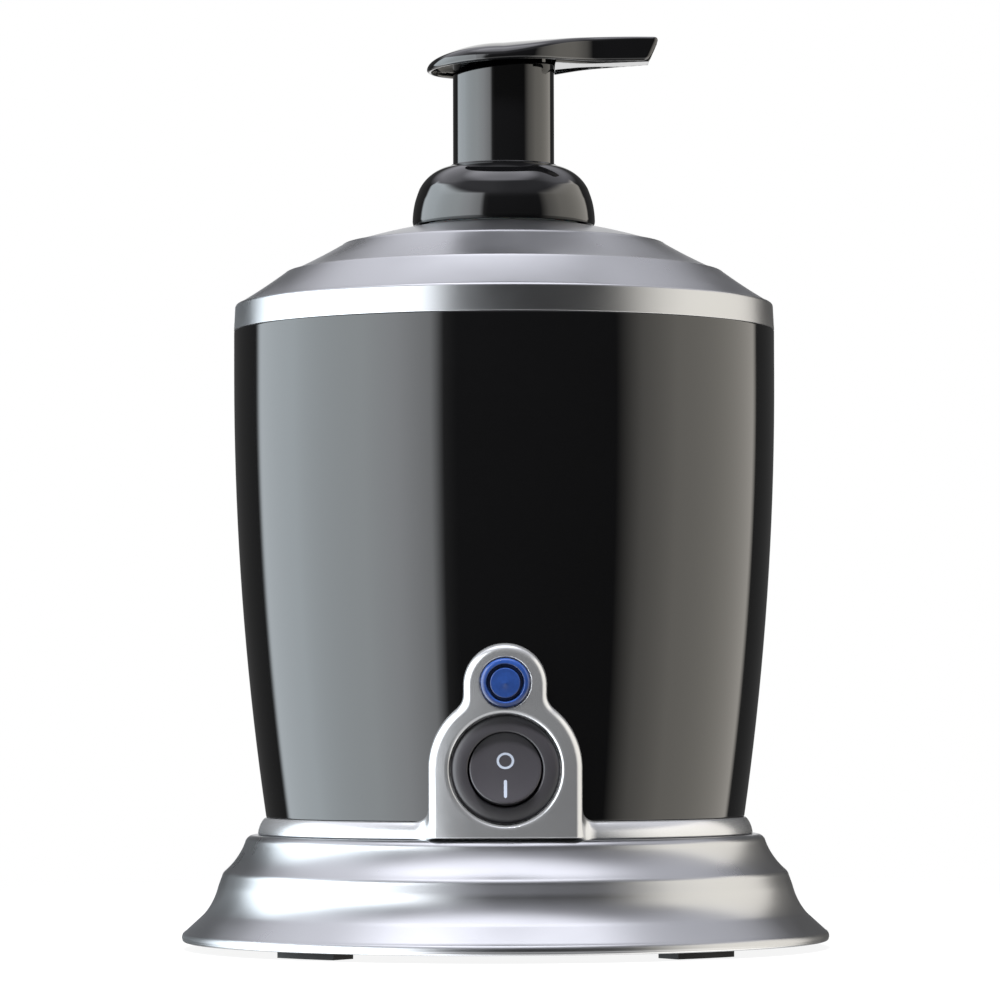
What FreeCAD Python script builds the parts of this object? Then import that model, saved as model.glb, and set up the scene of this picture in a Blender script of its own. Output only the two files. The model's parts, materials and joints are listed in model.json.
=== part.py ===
import FreeCAD, Part

import math
import os
import re

import Sketcher

# Hot lather machine: a heated soap tank in a barrel-shaped housing, with a foam pump on top
# and a rocker switch and lamp in front.  Millimetres, +Z up.  The origin is on the floor, on
# the barrel's axis.  The front with its switch looks along -Y, and the spout points along +X.

doc = FreeCAD.newDocument("hot_lather_machine")

# ---------------------------------------------------------------------------------------------
# Driving dimensions
# ---------------------------------------------------------------------------------------------

SIZES = {
    "Barrel": {
        "barrel_radius": 67.6,
        "barrel_foot_inset": 8.0,
        "barrel_foot_radius": "=barrel_radius - barrel_foot_inset",
        "barrel_height": 121.1,
        "barrel_shoulder": 11.1,      # the straight part above the curve
        "barrel_curve_height": "=barrel_height - barrel_shoulder",
        "barrel_wall": 2.2,
        "ring_height": 4.3,
        "ring_step": 2.0,
        "ring_radius": "=barrel_foot_radius + ring_step",
        "ring_lip": 0.3,
        "spigot_height": 4.0,
        "spigot_wall": 2.0,
        "spigot_gap": 0.3,
    },
    "Base": {
        "foot_stand": 1.9,            # the rim's height above the floor
        "foot_height": 2.6,
        "foot_inset": 7.4,
        "foot_width": 8.0,
        "foot_start": 34.0,           # degrees from the front or the back
        "foot_sweep": 14.5,
        "base_height": 26.4,
        "base_neck_step": 3.1,        # each radius steps out from the one above it
        "base_brow_step": 2.2,
        "base_groove_step": 4.7,
        "base_bulge_step": 1.9,
        "base_flare": 8.9,
        "base_neck_radius": "=barrel_foot_radius + base_neck_step",
        "base_brow_radius": "=base_neck_radius + base_brow_step",
        "base_groove_radius": "=base_brow_radius + base_groove_step",
        "base_step_radius": "=base_groove_radius + base_bulge_step",
        "base_rim_radius": "=base_step_radius + base_flare",
        "foot_reach": "=base_rim_radius - foot_inset",
        "base_rim_height": 2.6,
        "base_step_height": 13.7,
        "base_groove_rise": 4.0,
        "base_foot_slope": 4.6,       # the straight start of the flare
        "base_foot_rise": 4.2,
        "base_bulge_round": 2.6,      # the round top of the bulge, and where its plain side starts
        "base_bulge_reach": 1.0,
        "base_bulge_drop": 1.55,
        "base_groove_height": "=base_step_height + base_groove_rise",
        "base_brow_drop": 2.0,
        "base_wall": 2.0,
        "deck_thickness": 2.5,
        "deck_hole_radius": 24.0,
        "deck_lap_width": 4.7,        # the shell's inward flange, which the deck plate bears on
        "deck_lap_height": 1.2,
        "deck_gap": 0.15,
        "base_plate_thickness": 2.0,
        "base_plate_gap": 0.6,
        "plate_boss_radius": 4.0,
        "plate_boss_inset": 6.2,
        "plate_boss_ring": "=base_neck_radius - plate_boss_inset",
        "plate_screw_radius": 1.5,
        "plate_screw_length": 10.0,
        "screw_head_height": 2.0,
    },
    "Cover": {
        "band_height": 6.8,
        "band_round": 0.9,
        "band_draft": 0.3,
        "outer_tier_inset": 13.2,
        "outer_tier_radius": "=barrel_radius - outer_tier_inset",
        "outer_tier_height": 8.0,
        "inner_tier_inset": 14.4,
        "inner_tier_radius": "=outer_tier_radius - inner_tier_inset",
        "inner_tier_height": 7.2,
        "mouth_height": 4.8,
        "tier_sag_radius": 150.0,
        "tier_round": 0.8,
        "cover_wall": 2.2,
        "neck_gap": 0.4,
        "rod_inset": 9.1,
        "rod_ring_radius": "=barrel_foot_radius - rod_inset",
        "rod_radius": 2.0,
        "rod_boss_radius": 4.5,
        "rod_grip": 8.0,
        "rod_boss_length": 15.0,
        "nut_height": 3.2,
        "nut_radius": 4.0,
    },
    "Tank": {
        "tank_flange_inset": 3.5,
        "tank_flange_radius": "=rod_ring_radius - tank_flange_inset",
        "lid_screw_inset": 5.0,
        "lid_screw_ring": "=tank_flange_radius - lid_screw_inset",
        "pot_inset": 10.0,
        "pot_radius": "=lid_screw_ring - pot_inset",
        "heater_step": 2.0,
        "heater_radius": "=pot_radius - heater_step",
        "bracket_height": 9.7,
        "bracket_radius": 31.0,
        "bracket_sheet": 1.5,
        "bracket_leg_width": 10.0,
        "bracket_foot_reach": 40.0,
        "bracket_screw_ring": 36.5,
        "insulation_height": 8.0,
        "insulation_radius": 28.0,
        "sensor_hole_radius": 14.0,
        "heater_height": 8.0,
        "element_ring_radius": 22.0,
        "element_radius": 2.6,
        "element_gap_angle": 30.0,
        "element_pin_radius": 1.5,
        "element_pin_length": 17.0,
        "thermostat_radius": 6.5,
        "thermostat_height": 6.0,
        "thermostat_shift": 5.5,
        "fuse_radius": 1.7,
        "fuse_length": 11.0,
        "fuse_shift": 6.5,
        "pot_wall": 1.2,
        "pot_floor": 1.5,
        "pot_room": 28.5,             # what the heater and the lid take of the barrel's height
        "pot_height": "=barrel_height - pot_room",
        "seal_width": 2.6,
        "seal_height": 0.8,
        "lid_thickness": 3.0,
        "lid_screw_radius": 1.6,
        "lid_screw_grip": 8.0,
        "lid_boss_radius": 4.2,
        "lid_neck_radius": 20.0,
    },
    "Pump": {
        "neck_rise": 6.9,
        "neck_radius": 18.5,
        "neck_bore": 16.0,
        "lug_reach": 1.9,
        "lug_height": 1.8,
        "lug_drop": 2.2,
        "lug_angle": 50.0,
        "gasket_height": 0.8,
        "pump_flange_radius": 17.3,
        "pump_flange_height": 1.5,
        "air_cylinder_radius": 13.4,
        "air_cylinder_wall": 1.4,
        "air_cylinder_depth": 37.3,
        "liquid_cylinder_radius": 5.0,
        "liquid_cylinder_wall": 1.0,
        "liquid_cylinder_depth": 28.0,
        "inlet_bore": 1.5,
        "inlet_socket_length": 8.0,
        "ball_radius": 2.2,
        "tube_radius": 3.0,
        "tube_wall": 1.0,
        "tube_floor_gap": 4.0,
        "stem_radius": 4.5,
        "stem_wall": 1.3,
        "stem_length": 54.5,
        "piston_fit": 0.07,
        "slip_fit": 0.05,
        "air_piston_rise": 23.5,
        "air_piston_lip": 7.0,
        "liquid_piston_height": 5.5,
        "spring_radius": 7.6,
        "spring_wire": 0.45,
        "spring_turns": 6,
        "cartridge_radius": 5.6,
        "cartridge_height": 11.0,
        "collar_lift": -0.1,
        "collar_radius": 22.9,
        "collar_side_height": 7.7,
        "collar_side_radius": 22.0,
        "collar_dome_radius": 10.5,
        "collar_height": 15.2,
        "collar_wall": 1.8,
        "collar_hole_gap": 0.4,
        "collar_lip_height": 0.3,
        "collar_lip_width": 0.3,
    },
    "Head": {
        "skirt_radius": 12.7,
        "skirt_wall": 1.3,
        "skirt_drop": 11.4,
        "socket_wall": 1.6,
        "head_rise": 23.4,
        "head_radius": 19.3,
        "head_edge": 1.4,
        "head_reach": 39.2,
        "tip_slant": 2.7,
        "rim_waist_rise": 1.9,
        "rim_tip_rise": 2.5,
        "crown_rise": 7.0,
        "crown_tip_rise": 8.7,
        "crown_cross_radius": 58.0,
        "crown_long_radius": 400.0,
        "crown_tail_radius": 39.0,
        "beak_root_half": 10.2,
        "beak_tip_half": 4.7,
        "beak_blend": 12.0,
        "head_wall": 1.3,
        "head_roof": 1.6,
        "outlet_radius": 3.0,
        "outlet_rise": 3.6,
        "strip_start": 12.9,
        "strip_start_rise": 1.1,
        "strip_tip_rise": 2.4,
        "strip_sheet": 1.1,
        "strip_gap": 0.1,
    },
    "Switch": {
        "panel_tilt": 4.84,
        "panel_stand": 4.8,
        "panel_reach": "=barrel_foot_radius + panel_stand",
        "switch_level": 16.7,         # the switch's centre above the deck
        "panel_half": 18.3,
        "lamp_rise": 20.7,
        "lamp_panel_half": 9.95,
        "lamp_panel_drop": 0.8,       # the round of the neck sits below the lamp's middle
        "panel_depth": 8.0,
        "panel_blend": 2.5,
        "panel_round": 1.8,
        "panel_bulge": 1.3,           # the middle of the face stands in front of the switch
        "panel_curve": 65.0,
        "panel_gap": 0.15,
        "bezel_radius": 12.85,
        "bezel_thickness": 1.8,
        "bezel_gap": 0.6,
        "bezel_sink": 1.5,
        "well_radius": 8.95,
        "well_depth": 8.0,
        "switch_case_radius": 10.0,
        "switch_case_length": 18.0,
        "hole_gap": 0.1,
        "case_gap": 1.2,
        "pivot_depth": 2.6,
        "rocker_radius": 8.6,
        "rocker_ball_radius": 8.8,
        "rocker_back": 3.2,
        "rocker_face": 2.0,
        "rocker_hollow": 40.0,
        "rocker_tilt_angle": 11.0,
        "trunnion_radius": 1.2,
        "trunnion_reach": 9.7,
        "blade_width": 4.8,
        "blade_sheet": 0.8,
        "blade_length": 8.0,
        "blade_spacing": 5.0,
        "lens_radius": 5.8,
        "lens_thickness": 1.2,
        "lens_sink": 0.6,
        "lens_seat": "=panel_bulge - lens_sink",
        "lens_dome": 0.5,
        "lens_shaft_radius": 4.4,
        "lens_shaft_length": 7.0,
        "lens_wall": 1.0,
        "holder_wall": 0.9,
        "holder_length": 10.0,
        "holder_set": 3.2,
        "bulb_radius": 2.4,
        "bulb_length": 8.0,
    },
    "Wiring": {
        "gland_level": 16.5,
        "gland_bore": 3.6,
        "gland_radius": 5.2,
        "gland_flange_radius": 6.5,
        "gland_flange_width": 2.0,
        "gland_inset": 5.6,
        "gland_seat": "=base_rim_radius - gland_inset",
        "gland_boss_radius": 7.5,
        "gland_boss_length": 11.2,
        "gland_nose": 3.2,
        "gland_tail": 6.0,
        "gland_nut_radius": 7.2,
        "gland_nut_width": 3.8,
        "block_length": 26.0,
        "block_width": 12.0,
        "block_height": 10.0,
        "block_place": 40.0,
        "lead_radius": 1.1,
        "lead_bend": 4.0,
        "lead_hole_radius": 7.0,
        "lead_hole_place": 34.5,
        "lead_end_gap": 0.2,
    },
}

sheet = doc.addObject("Spreadsheet::Sheet", "Sizes")
row = 0
for group, cells in SIZES.items():
    row += 1
    sheet.set(f"A{row}", group)
    for alias, number in cells.items():
        row += 1
        sheet.set(f"A{row}", alias)
        sheet.set(f"B{row}", str(number))
        sheet.setAlias(f"B{row}", alias)
doc.recompute()


def bound(expression):
    """The expression as the objects read it, with the sheet's name before each alias."""
    return re.sub(r"\b([a-z]+(?:_[a-z]+)+)\b", r"Sizes.\1", expression)


def value(expression):
    """The number that an expression of aliases gives."""
    return float(sheet.evalExpression(bound(expression)))


# Levels, each stacked on the one below it
RIM = "(foot_stand)"
DECK = "(foot_stand + base_height)"
DECK_UNDER = f"({DECK} - deck_thickness)"
PLATE_TOP = "(foot_height + base_plate_thickness)"
RING_TOP = f"({DECK} + ring_height)"
SHOULDER = f"({RING_TOP} + barrel_curve_height)"
BARREL_TOP = f"({RING_TOP} + barrel_height)"
BAND_TOP = f"({BARREL_TOP} + band_height)"
OUTER_TIER = f"({BAND_TOP} + outer_tier_height)"
INNER_TIER = f"({OUTER_TIER} + inner_tier_height)"
MOUTH = f"({INNER_TIER} + mouth_height)"
BRACKET_TOP = f"({DECK} + bracket_height)"
INSULATION_TOP = f"({BRACKET_TOP} + insulation_height)"
POT_BASE = f"({INSULATION_TOP} + heater_height)"
POT_RIM = f"({POT_BASE} + pot_height)"
LID_UNDER = f"({POT_RIM} + seal_height)"
LID_TOP = f"({LID_UNDER} + lid_thickness)"
NECK_TOP = f"({MOUTH} + neck_rise)"
FLANGE_UNDER = f"({NECK_TOP} + gasket_height)"
FLANGE_TOP = f"({FLANGE_UNDER} + pump_flange_height)"
AIR_FLOOR = f"({FLANGE_TOP} - air_cylinder_depth)"
LIQUID_FLOOR = f"({AIR_FLOOR} - liquid_cylinder_depth)"
SOCKET_TOP = f"({LIQUID_FLOOR} - 3 * liquid_cylinder_wall)"
PISTON_LEVEL = f"({AIR_FLOOR} + air_piston_rise)"
STEM_BASE = f"({AIR_FLOOR} - 1.25 * liquid_piston_height)"
STEM_TOP = f"({STEM_BASE} + stem_length)"
COLLAR_BASE = f"({MOUTH} + collar_lift)"
COLLAR_TOP = f"({COLLAR_BASE} + collar_height)"
HEAD_RIM = f"({COLLAR_TOP} + head_rise)"
SKIRT_BASE = f"({COLLAR_TOP} - skirt_drop)"
SWITCH_LEVEL = f"({DECK} + switch_level)"


# ---------------------------------------------------------------------------------------------
# Ways of making a piece
# ---------------------------------------------------------------------------------------------

nodes = []


def node(label, item):
    """Names a finished piece and keeps it for writing."""
    item.Label = label
    nodes.append(item)
    return item


def place(item, across="0", depth="0", level="0", angle=None, axis=(0, 0, 1)):
    """Binds where an object stands, and how far it is turned about an axis."""
    turn = FreeCAD.Rotation(FreeCAD.Vector(*axis), value(angle) if angle else 0)
    base = FreeCAD.Vector(value(across), value(depth), value(level))
    item.Placement = FreeCAD.Placement(base, turn)
    item.setExpression("Placement.Base.x", bound(across))
    item.setExpression("Placement.Base.y", bound(depth))
    item.setExpression("Placement.Base.z", bound(level))
    if angle:
        item.setExpression("Placement.Rotation.Angle", bound(angle))
    return item


def on_panel(item, up, out, across="0"):
    """Stands an object square on the panel's face: up along the face, and out of it."""
    depth = f"-panel_reach - ({up}) * sin(panel_tilt) - ({out}) * cos(panel_tilt)"
    level = f"{SWITCH_LEVEL} + ({up}) * cos(panel_tilt) - ({out}) * sin(panel_tilt)"
    return place(item, across, depth, level, "90 + panel_tilt", (1, 0, 0))


def up_panel(item, up, out):
    """Stands an object upright along the panel: its length runs up the face."""
    depth = f"-panel_reach - ({up}) * sin(panel_tilt) - ({out}) * cos(panel_tilt)"
    level = f"{SWITCH_LEVEL} + ({up}) * cos(panel_tilt) - ({out}) * sin(panel_tilt)"
    return place(item, "0", depth, level, "panel_tilt", (1, 0, 0))


def cylinder(name, radius, height, sweep="360"):
    item = doc.addObject("Part::Cylinder", name)
    item.setExpression("Radius", bound(radius))
    item.setExpression("Height", bound(height))
    item.setExpression("Angle", bound(sweep))
    return item


def box(name, length, width, height):
    item = doc.addObject("Part::Box", name)
    item.setExpression("Length", bound(length))
    item.setExpression("Width", bound(width))
    item.setExpression("Height", bound(height))
    return item


def hexagon(name, radius, height):
    item = doc.addObject("Part::Prism", name)
    item.Polygon = 6
    item.setExpression("Circumradius", bound(radius))
    item.setExpression("Height", bound(height))
    return item


def ball(name, radius):
    item = doc.addObject("Part::Sphere", name)
    item.setExpression("Radius", bound(radius))
    return item


def fuse(name, *items):
    item = doc.addObject("Part::MultiFuse", name)
    item.Shapes = list(items)
    item.Refine = True
    return item


def cut(name, base, *tools):
    item = doc.addObject("Part::Cut", name)
    item.Base = base
    item.Tool = tools[0] if len(tools) == 1 else fuse(name + "_tools", *tools)
    return item


def common(name, one, other):
    item = doc.addObject("Part::MultiCommon", name)
    item.Shapes = [one, other]
    return item


def group(name, items):
    """Separate solids of one kind that share a node."""
    item = doc.addObject("Part::Compound", name)
    item.Links = list(items)
    return item


def rounded(name, base, radius, chosen):
    """Rounds the edges of an object that the test picks."""
    doc.recompute()
    item = doc.addObject("Part::Fillet", name)
    item.Base = base
    size = value(radius)
    item.Edges = [(i + 1, size, size) for i, edge in enumerate(base.Shape.Edges) if chosen(edge)]
    return item


def corner(across, up):
    """A sharp point of an outline."""
    return (across, up, None, 0)


def bend(across, up, radius, side):
    """A point of an outline that an arc leads to, curving to its left (+1) or right (-1)."""
    return (across, up, radius, side)


def arc_between(start, end, radius, side):
    """The arc between two points, as the sketch wants it: anticlockwise."""
    chord = end - start
    half = chord.Length / 2
    away = FreeCAD.Vector(-chord.y, chord.x, 0).normalize() * side
    centre = (start + end) / 2 + away * math.sqrt(max(radius ** 2 - half ** 2, 0))
    first, last = (start, end) if side > 0 else (end, start)
    angles = [math.atan2(point.y - centre.y, point.x - centre.x) for point in (first, last)]
    circle = Part.Circle(centre, FreeCAD.Vector(0, 0, 1), radius)
    return Part.ArcOfCircle(circle, angles[0], angles[1])


def sketched(body, plane, outline):
    """A closed outline in a body's own origin plane, every point bound to the sheet."""
    sketch = body.newObject("Sketcher::SketchObject", body.Name + "_outline")
    origin_plane = [item for item in body.Origin.OriginFeatures if item.Role == plane][0]
    sketch.AttachmentSupport = (origin_plane, [""])
    sketch.MapMode = "FlatFace"
    points = [FreeCAD.Vector(value(spot[0]), value(spot[1]), 0) for spot in outline]
    count = len(outline)
    for i in range(count):
        radius, side = outline[(i + 1) % count][2:]
        start, end = points[i], points[(i + 1) % count]
        if radius:
            sketch.addGeometry(arc_between(start, end, value(radius), side), False)
        else:
            sketch.addGeometry(Part.LineSegment(start, end), False)
    heads = [2 if outline[(i + 1) % count][3] < 0 else 1 for i in range(count)]
    for i in range(count):
        before = (i - 1) % count
        sketch.addConstraint(Sketcher.Constraint("Coincident", before, 3 - heads[before], i, heads[i]))
        spots = (("DistanceX", outline[i][0], points[i].x), ("DistanceY", outline[i][1], points[i].y))
        for kind, expression, number in spots:
            held = sketch.addConstraint(Sketcher.Constraint(kind, -1, 1, i, heads[i], number))
            sketch.setExpression(f"Constraints[{held}]", bound(expression))
        radius = outline[(i + 1) % count][2]
        if radius:
            held = sketch.addConstraint(Sketcher.Constraint("Radius", i, value(radius)))
            sketch.setExpression(f"Constraints[{held}]", bound(radius))
    return sketch


def turned(name, outline):
    """A body turned about the axis from an outline of (radius, level) points."""
    body = doc.addObject("PartDesign::Body", name)
    sketch = sketched(body, "XZ_Plane", outline)
    feature = body.newObject("PartDesign::Revolution", name + "_turn")
    feature.Profile = sketch
    feature.ReferenceAxis = (sketch, ["V_Axis"])
    feature.Angle = 360
    return body


def padded(name, outline, height, plane="XY_Plane", start="0"):
    """A body padded from an outline, from a start along the plane's normal."""
    body = doc.addObject("PartDesign::Body", name)
    sketch = sketched(body, plane, outline)
    sketch.setExpression("AttachmentOffset.Base.z", bound(start))
    feature = body.newObject("PartDesign::Pad", name + "_pad")
    feature.Profile = sketch
    feature.setExpression("Length", bound(height))
    return body


def tube(name, outer, inner, bottom, top):
    """A turned sleeve."""
    return turned(name, [corner(inner, bottom), corner(outer, bottom),
                         corner(outer, top), corner(inner, top)])


def around(name, count, first, ring, level, make):
    """Copies of a piece on a ring about the axis, evenly spaced from a first angle."""
    copies = []
    for i in range(count):
        angle = f"({first} + {i} * 360 / {count})"
        copy = make(f"{name}_{i + 1}")
        place(copy, f"{ring} * cos({angle})", f"{ring} * sin({angle})", level, angle)
        copies.append(copy)
    return copies


def screw(name, radius, length, head_up):
    """A pan-head screw whose head's seat is at its own origin."""
    shank = cylinder(name + "_shank", radius, length)
    head = cylinder(name + "_head", f"2 * {radius}", "screw_head_height")
    place(shank, level=f"-({length})" if head_up else "0")
    place(head, level="0" if head_up else "-screw_head_height")
    return fuse(name, shank, head)


# ---------------------------------------------------------------------------------------------
# Base: a flared pedestal shell, its deck and bottom plates, feet and screws
# ---------------------------------------------------------------------------------------------

STEP_LEVEL = "(foot_stand + base_step_height)"
GROOVE_LEVEL = "(foot_stand + base_groove_height)"
BROW_LEVEL = f"({DECK} - base_brow_drop)"
RIM_LEVEL = "(foot_stand + base_rim_height)"
PLATE_BOSS_FIRST = "45"
ROD_FIRST = "90"
LEG_FIRST = "90"
LID_SCREW_FIRST = "45"


NECK_INSIDE = "(base_neck_radius - base_wall)"
LAP_RADIUS = f"({NECK_INSIDE} - deck_lap_width)"
LAP_UNDER = f"({DECK} - deck_lap_height)"


def make_base_shell():
    outline = [
        corner(LAP_RADIUS, DECK),
        corner(LAP_RADIUS, LAP_UNDER),
        corner(NECK_INSIDE, LAP_UNDER),
        corner(NECK_INSIDE, DECK_UNDER),
        corner("base_brow_radius - base_wall", f"{BROW_LEVEL} - 0.9 * base_wall"),
        corner("base_groove_radius - base_wall", f"{GROOVE_LEVEL} - 0.7 * base_wall"),
        corner("base_step_radius - base_wall", STEP_LEVEL),
        corner("base_step_radius - 0.4 * base_wall", f"{STEP_LEVEL} - 0.45 * base_step_height"),
        corner("base_rim_radius - 1.4 * base_wall", f"{PLATE_TOP} + base_plate_gap / 2"),
        corner("base_rim_radius - base_wall", RIM),
        corner("base_rim_radius - 0.6", RIM),
        bend("base_rim_radius", f"{RIM} + 0.6", "0.6", 1),
        bend("base_rim_radius - 0.8", RIM_LEVEL, "1.6", 1),
        corner("base_rim_radius - 0.8 - base_foot_slope", f"{RIM_LEVEL} + base_foot_rise"),
        bend("base_step_radius", STEP_LEVEL, "1.2 * base_step_height", -1),
        corner("base_groove_radius + base_bulge_reach", f"{GROOVE_LEVEL} - base_bulge_drop"),
        bend("base_groove_radius", GROOVE_LEVEL, "base_bulge_round", 1),
        bend("base_brow_radius", BROW_LEVEL, "base_groove_height", -1),
        bend("base_neck_radius", DECK, "base_brow_drop * 1.2", 1),
    ]
    shell = turned("base_shell_form", outline)
    gland_boss = cylinder("gland_boss", "gland_boss_radius", "gland_boss_length")
    place(gland_boss, "0", "gland_seat", "gland_level", "90", (1, 0, 0))
    gland_hole = cylinder("gland_hole", "gland_radius + hole_gap", "2 * gland_boss_length")
    place(gland_hole, "0", "gland_seat + 0.5 * gland_boss_length", "gland_level", "90", (1, 0, 0))
    return cut("base_shell_cut", fuse("base_shell_solid", shell, gland_boss), gland_hole)


def make_deck_plate():
    """The plate that the rods, the bracket and the bottom plate's screws all pull on."""
    disc = turned("deck_disc", [
        corner("deck_hole_radius", DECK_UNDER),
        corner(f"{NECK_INSIDE} - deck_gap", DECK_UNDER),
        corner(f"{NECK_INSIDE} - deck_gap", LAP_UNDER),
        corner(f"{LAP_RADIUS} - deck_gap", LAP_UNDER),
        corner(f"{LAP_RADIUS} - deck_gap", DECK),
        corner("deck_hole_radius", DECK),
    ])
    boss_height = f"{DECK_UNDER} + 0.5 * deck_lap_height - {PLATE_TOP}"
    bosses = around("plate_boss", 4, PLATE_BOSS_FIRST, "plate_boss_ring", PLATE_TOP,
                    lambda name: cylinder(name, "plate_boss_radius", boss_height))
    pilots = around("plate_pilot", 4, PLATE_BOSS_FIRST, "plate_boss_ring", PLATE_TOP,
                    lambda name: cylinder(name, "plate_screw_radius + slip_fit", "plate_screw_length"))
    rod_holes = around("rod_hole", 3, ROD_FIRST, "rod_ring_radius", DECK_UNDER,
                       lambda name: cylinder(name, "rod_radius + hole_gap", "deck_thickness"))
    leg_holes = around("leg_hole", 3, LEG_FIRST, "bracket_screw_ring", DECK_UNDER,
                       lambda name: cylinder(name, "lid_screw_radius + slip_fit", "deck_thickness"))
    lead_hole = cylinder("deck_lead_hole", "lead_hole_radius", "deck_thickness")
    place(lead_hole, "0", "-lead_hole_place", DECK_UNDER)
    solid = fuse("deck_solid", disc, *bosses)
    return cut("deck_cut", solid, lead_hole, *pilots, *rod_holes, *leg_holes)


def make_base_plate():
    radius = "base_rim_radius - 1.4 * base_wall - base_plate_gap"
    disc = cylinder("base_plate_disc", radius, "base_plate_thickness")
    place(disc, level="foot_height")
    holes = around("base_plate_hole", 4, PLATE_BOSS_FIRST, "plate_boss_ring", "foot_height",
                   lambda name: cylinder(name, "plate_screw_radius + hole_gap", "base_plate_thickness"))
    return cut("base_plate_cut", disc, *holes)


def make_foot(name, first):
    """A rubber pad: a short arc of a flat ring."""
    outer = cylinder(name + "_outer", "foot_reach", "foot_height", "foot_sweep")
    inner = cylinder(name + "_inner", "foot_reach - foot_width", "foot_height", "foot_sweep")
    place(outer, angle=first)
    place(inner, angle=first)
    return cut(name + "_cut", outer, inner)


node("base_shell", make_base_shell())
node("deck_plate", make_deck_plate())
node("base_plate", make_base_plate())
node("foot_front_right", make_foot("foot_front_right", "(270 + foot_start)"))
node("foot_front_left", make_foot("foot_front_left", "(270 - foot_start - foot_sweep)"))
node("foot_rear_right", make_foot("foot_rear_right", "(90 - foot_start - foot_sweep)"))
node("foot_rear_left", make_foot("foot_rear_left", "(90 + foot_start)"))
node("plate_screws", group("plate_screw_set", around(
    "plate_screw", 4, PLATE_BOSS_FIRST, "plate_boss_ring", "foot_height",
    lambda name: group(name + "_at", [screw(name, "plate_screw_radius",
                                            "base_plate_thickness + plate_screw_length - 1", False)]))))

# ---------------------------------------------------------------------------------------------
# Switch panel: the ring under the barrel, and the keyhole-shaped panel that rises from it
# ---------------------------------------------------------------------------------------------

SPIGOT_OUTER = "(barrel_foot_radius - barrel_wall - spigot_gap)"
SPIGOT_INNER = f"({SPIGOT_OUTER} - spigot_wall)"
BARREL_CURVE = ("((barrel_curve_height ^ 2 + (barrel_radius - barrel_foot_radius) ^ 2)"
                " / (2 * (barrel_radius - barrel_foot_radius)))")


def make_panel_envelope():
    """What the panel must leave free: the barrel, and the room inside the ring."""
    return turned("panel_envelope", [
        corner("0", DECK_UNDER),
        corner(SPIGOT_INNER, DECK_UNDER),
        corner(SPIGOT_INNER, RING_TOP),
        corner("barrel_foot_radius + panel_gap", RING_TOP),
        bend("barrel_radius + panel_gap", SHOULDER, BARREL_CURVE, 1),
        corner("0", SHOULDER),
    ])


def make_ring():
    return turned("panel_ring", [
        corner(SPIGOT_INNER, DECK),
        corner("ring_radius - 2 * ring_lip", DECK),
        corner("ring_radius", f"{DECK} + 2 * ring_lip"),
        bend("barrel_foot_radius + ring_lip", RING_TOP, "ring_height * 1.6", 1),
        corner(SPIGOT_OUTER, RING_TOP),
        corner(SPIGOT_OUTER, f"{RING_TOP} + spigot_height"),
        corner(SPIGOT_INNER, f"{RING_TOP} + spigot_height"),
    ])


def make_switch_panel():
    thick = "panel_depth + panel_bulge"
    lower = cylinder("panel_lower", "panel_half", thick)
    upper = cylinder("panel_upper", "lamp_panel_half", thick)
    neck = box("panel_neck", "2 * lamp_panel_half", "lamp_rise - lamp_panel_drop", thick)
    legs = box("panel_legs", "2 * panel_half", "switch_level + ring_height", thick)
    on_panel(lower, "0", "-panel_depth")
    on_panel(upper, "lamp_rise - lamp_panel_drop", "-panel_depth")
    on_panel(neck, "0", "-panel_depth", "-lamp_panel_half")
    on_panel(legs, "-switch_level - ring_height", "-panel_depth", "-panel_half")
    prism = fuse("panel_prism", lower, upper, neck, legs)
    out = FreeCAD.Vector(0, -math.cos(math.radians(value("panel_tilt"))),
                         -math.sin(math.radians(value("panel_tilt"))))
    round_face = up_panel(cylinder("panel_round_face", "panel_curve", "5 * panel_half"),
                          "-2 * panel_half", "panel_bulge - panel_curve")
    face_axis = Part.Line(round_face.Placement.Base,
                          round_face.Placement.multVec(FreeCAD.Vector(0, 0, 1)))
    waist = value(f"{SWITCH_LEVEL} + 0.3 * panel_half")
    shoulder = value(f"{SWITCH_LEVEL} + 0.9 * lamp_rise")

    def in_waist(edge):
        """The two inward corners between the lamp's neck and the switch's round."""
        start, end = edge.firstVertex().Point, edge.lastVertex().Point
        along = (end - start).normalize()
        return (edge.Curve.TypeId == "Part::GeomLine" and abs(abs(along.dot(out)) - 1) < 1e-6
                and waist < start.z < shoulder)

    def on_face(edge):
        """The rim of the panel's round face."""
        points = [vertex.Point for vertex in edge.Vertexes]
        reaches = [point.distanceToLine(face_axis.Location, face_axis.Direction) for point in points]
        return all(abs(reach - value("panel_curve")) < 1e-4 for reach in reaches)

    blended = rounded("panel_blended", prism, "panel_blend", in_waist)
    faced = common("panel_faced", blended, round_face)
    soft = rounded("panel_soft", faced, "panel_round", on_face)
    under = box("panel_under", "4 * panel_half", "4 * panel_half", "4 * ring_height")
    place(under, "-2 * panel_half", "-panel_reach - 2 * panel_half", f"{DECK} + ring_lip - 4 * ring_height")
    plate = cut("panel_plate", soft, make_panel_envelope(), under)
    recess = on_panel(cylinder("bezel_recess", "bezel_radius + bezel_gap", "2 * bezel_sink"),
                      "0", "-bezel_sink")
    switch_hole = on_panel(cylinder("switch_hole", "switch_case_radius + hole_gap", "2 * panel_depth"),
                           "0", "-1.5 * panel_depth")
    lens_recess = on_panel(cylinder("lens_recess", "lens_radius + hole_gap", "2 * lens_sink"),
                           "lamp_rise", "lens_seat")
    lens_hole = on_panel(cylinder("lens_hole", "lens_shaft_radius + hole_gap", "2 * panel_depth"),
                         "lamp_rise", "-1.5 * panel_depth")
    solid = fuse("switch_panel_solid", make_ring(), plate)
    return cut("switch_panel_cut", solid, recess, switch_hole, lens_recess, lens_hole)


node("switch_panel", make_switch_panel())

# ---------------------------------------------------------------------------------------------
# Barrel shell
# ---------------------------------------------------------------------------------------------

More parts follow.
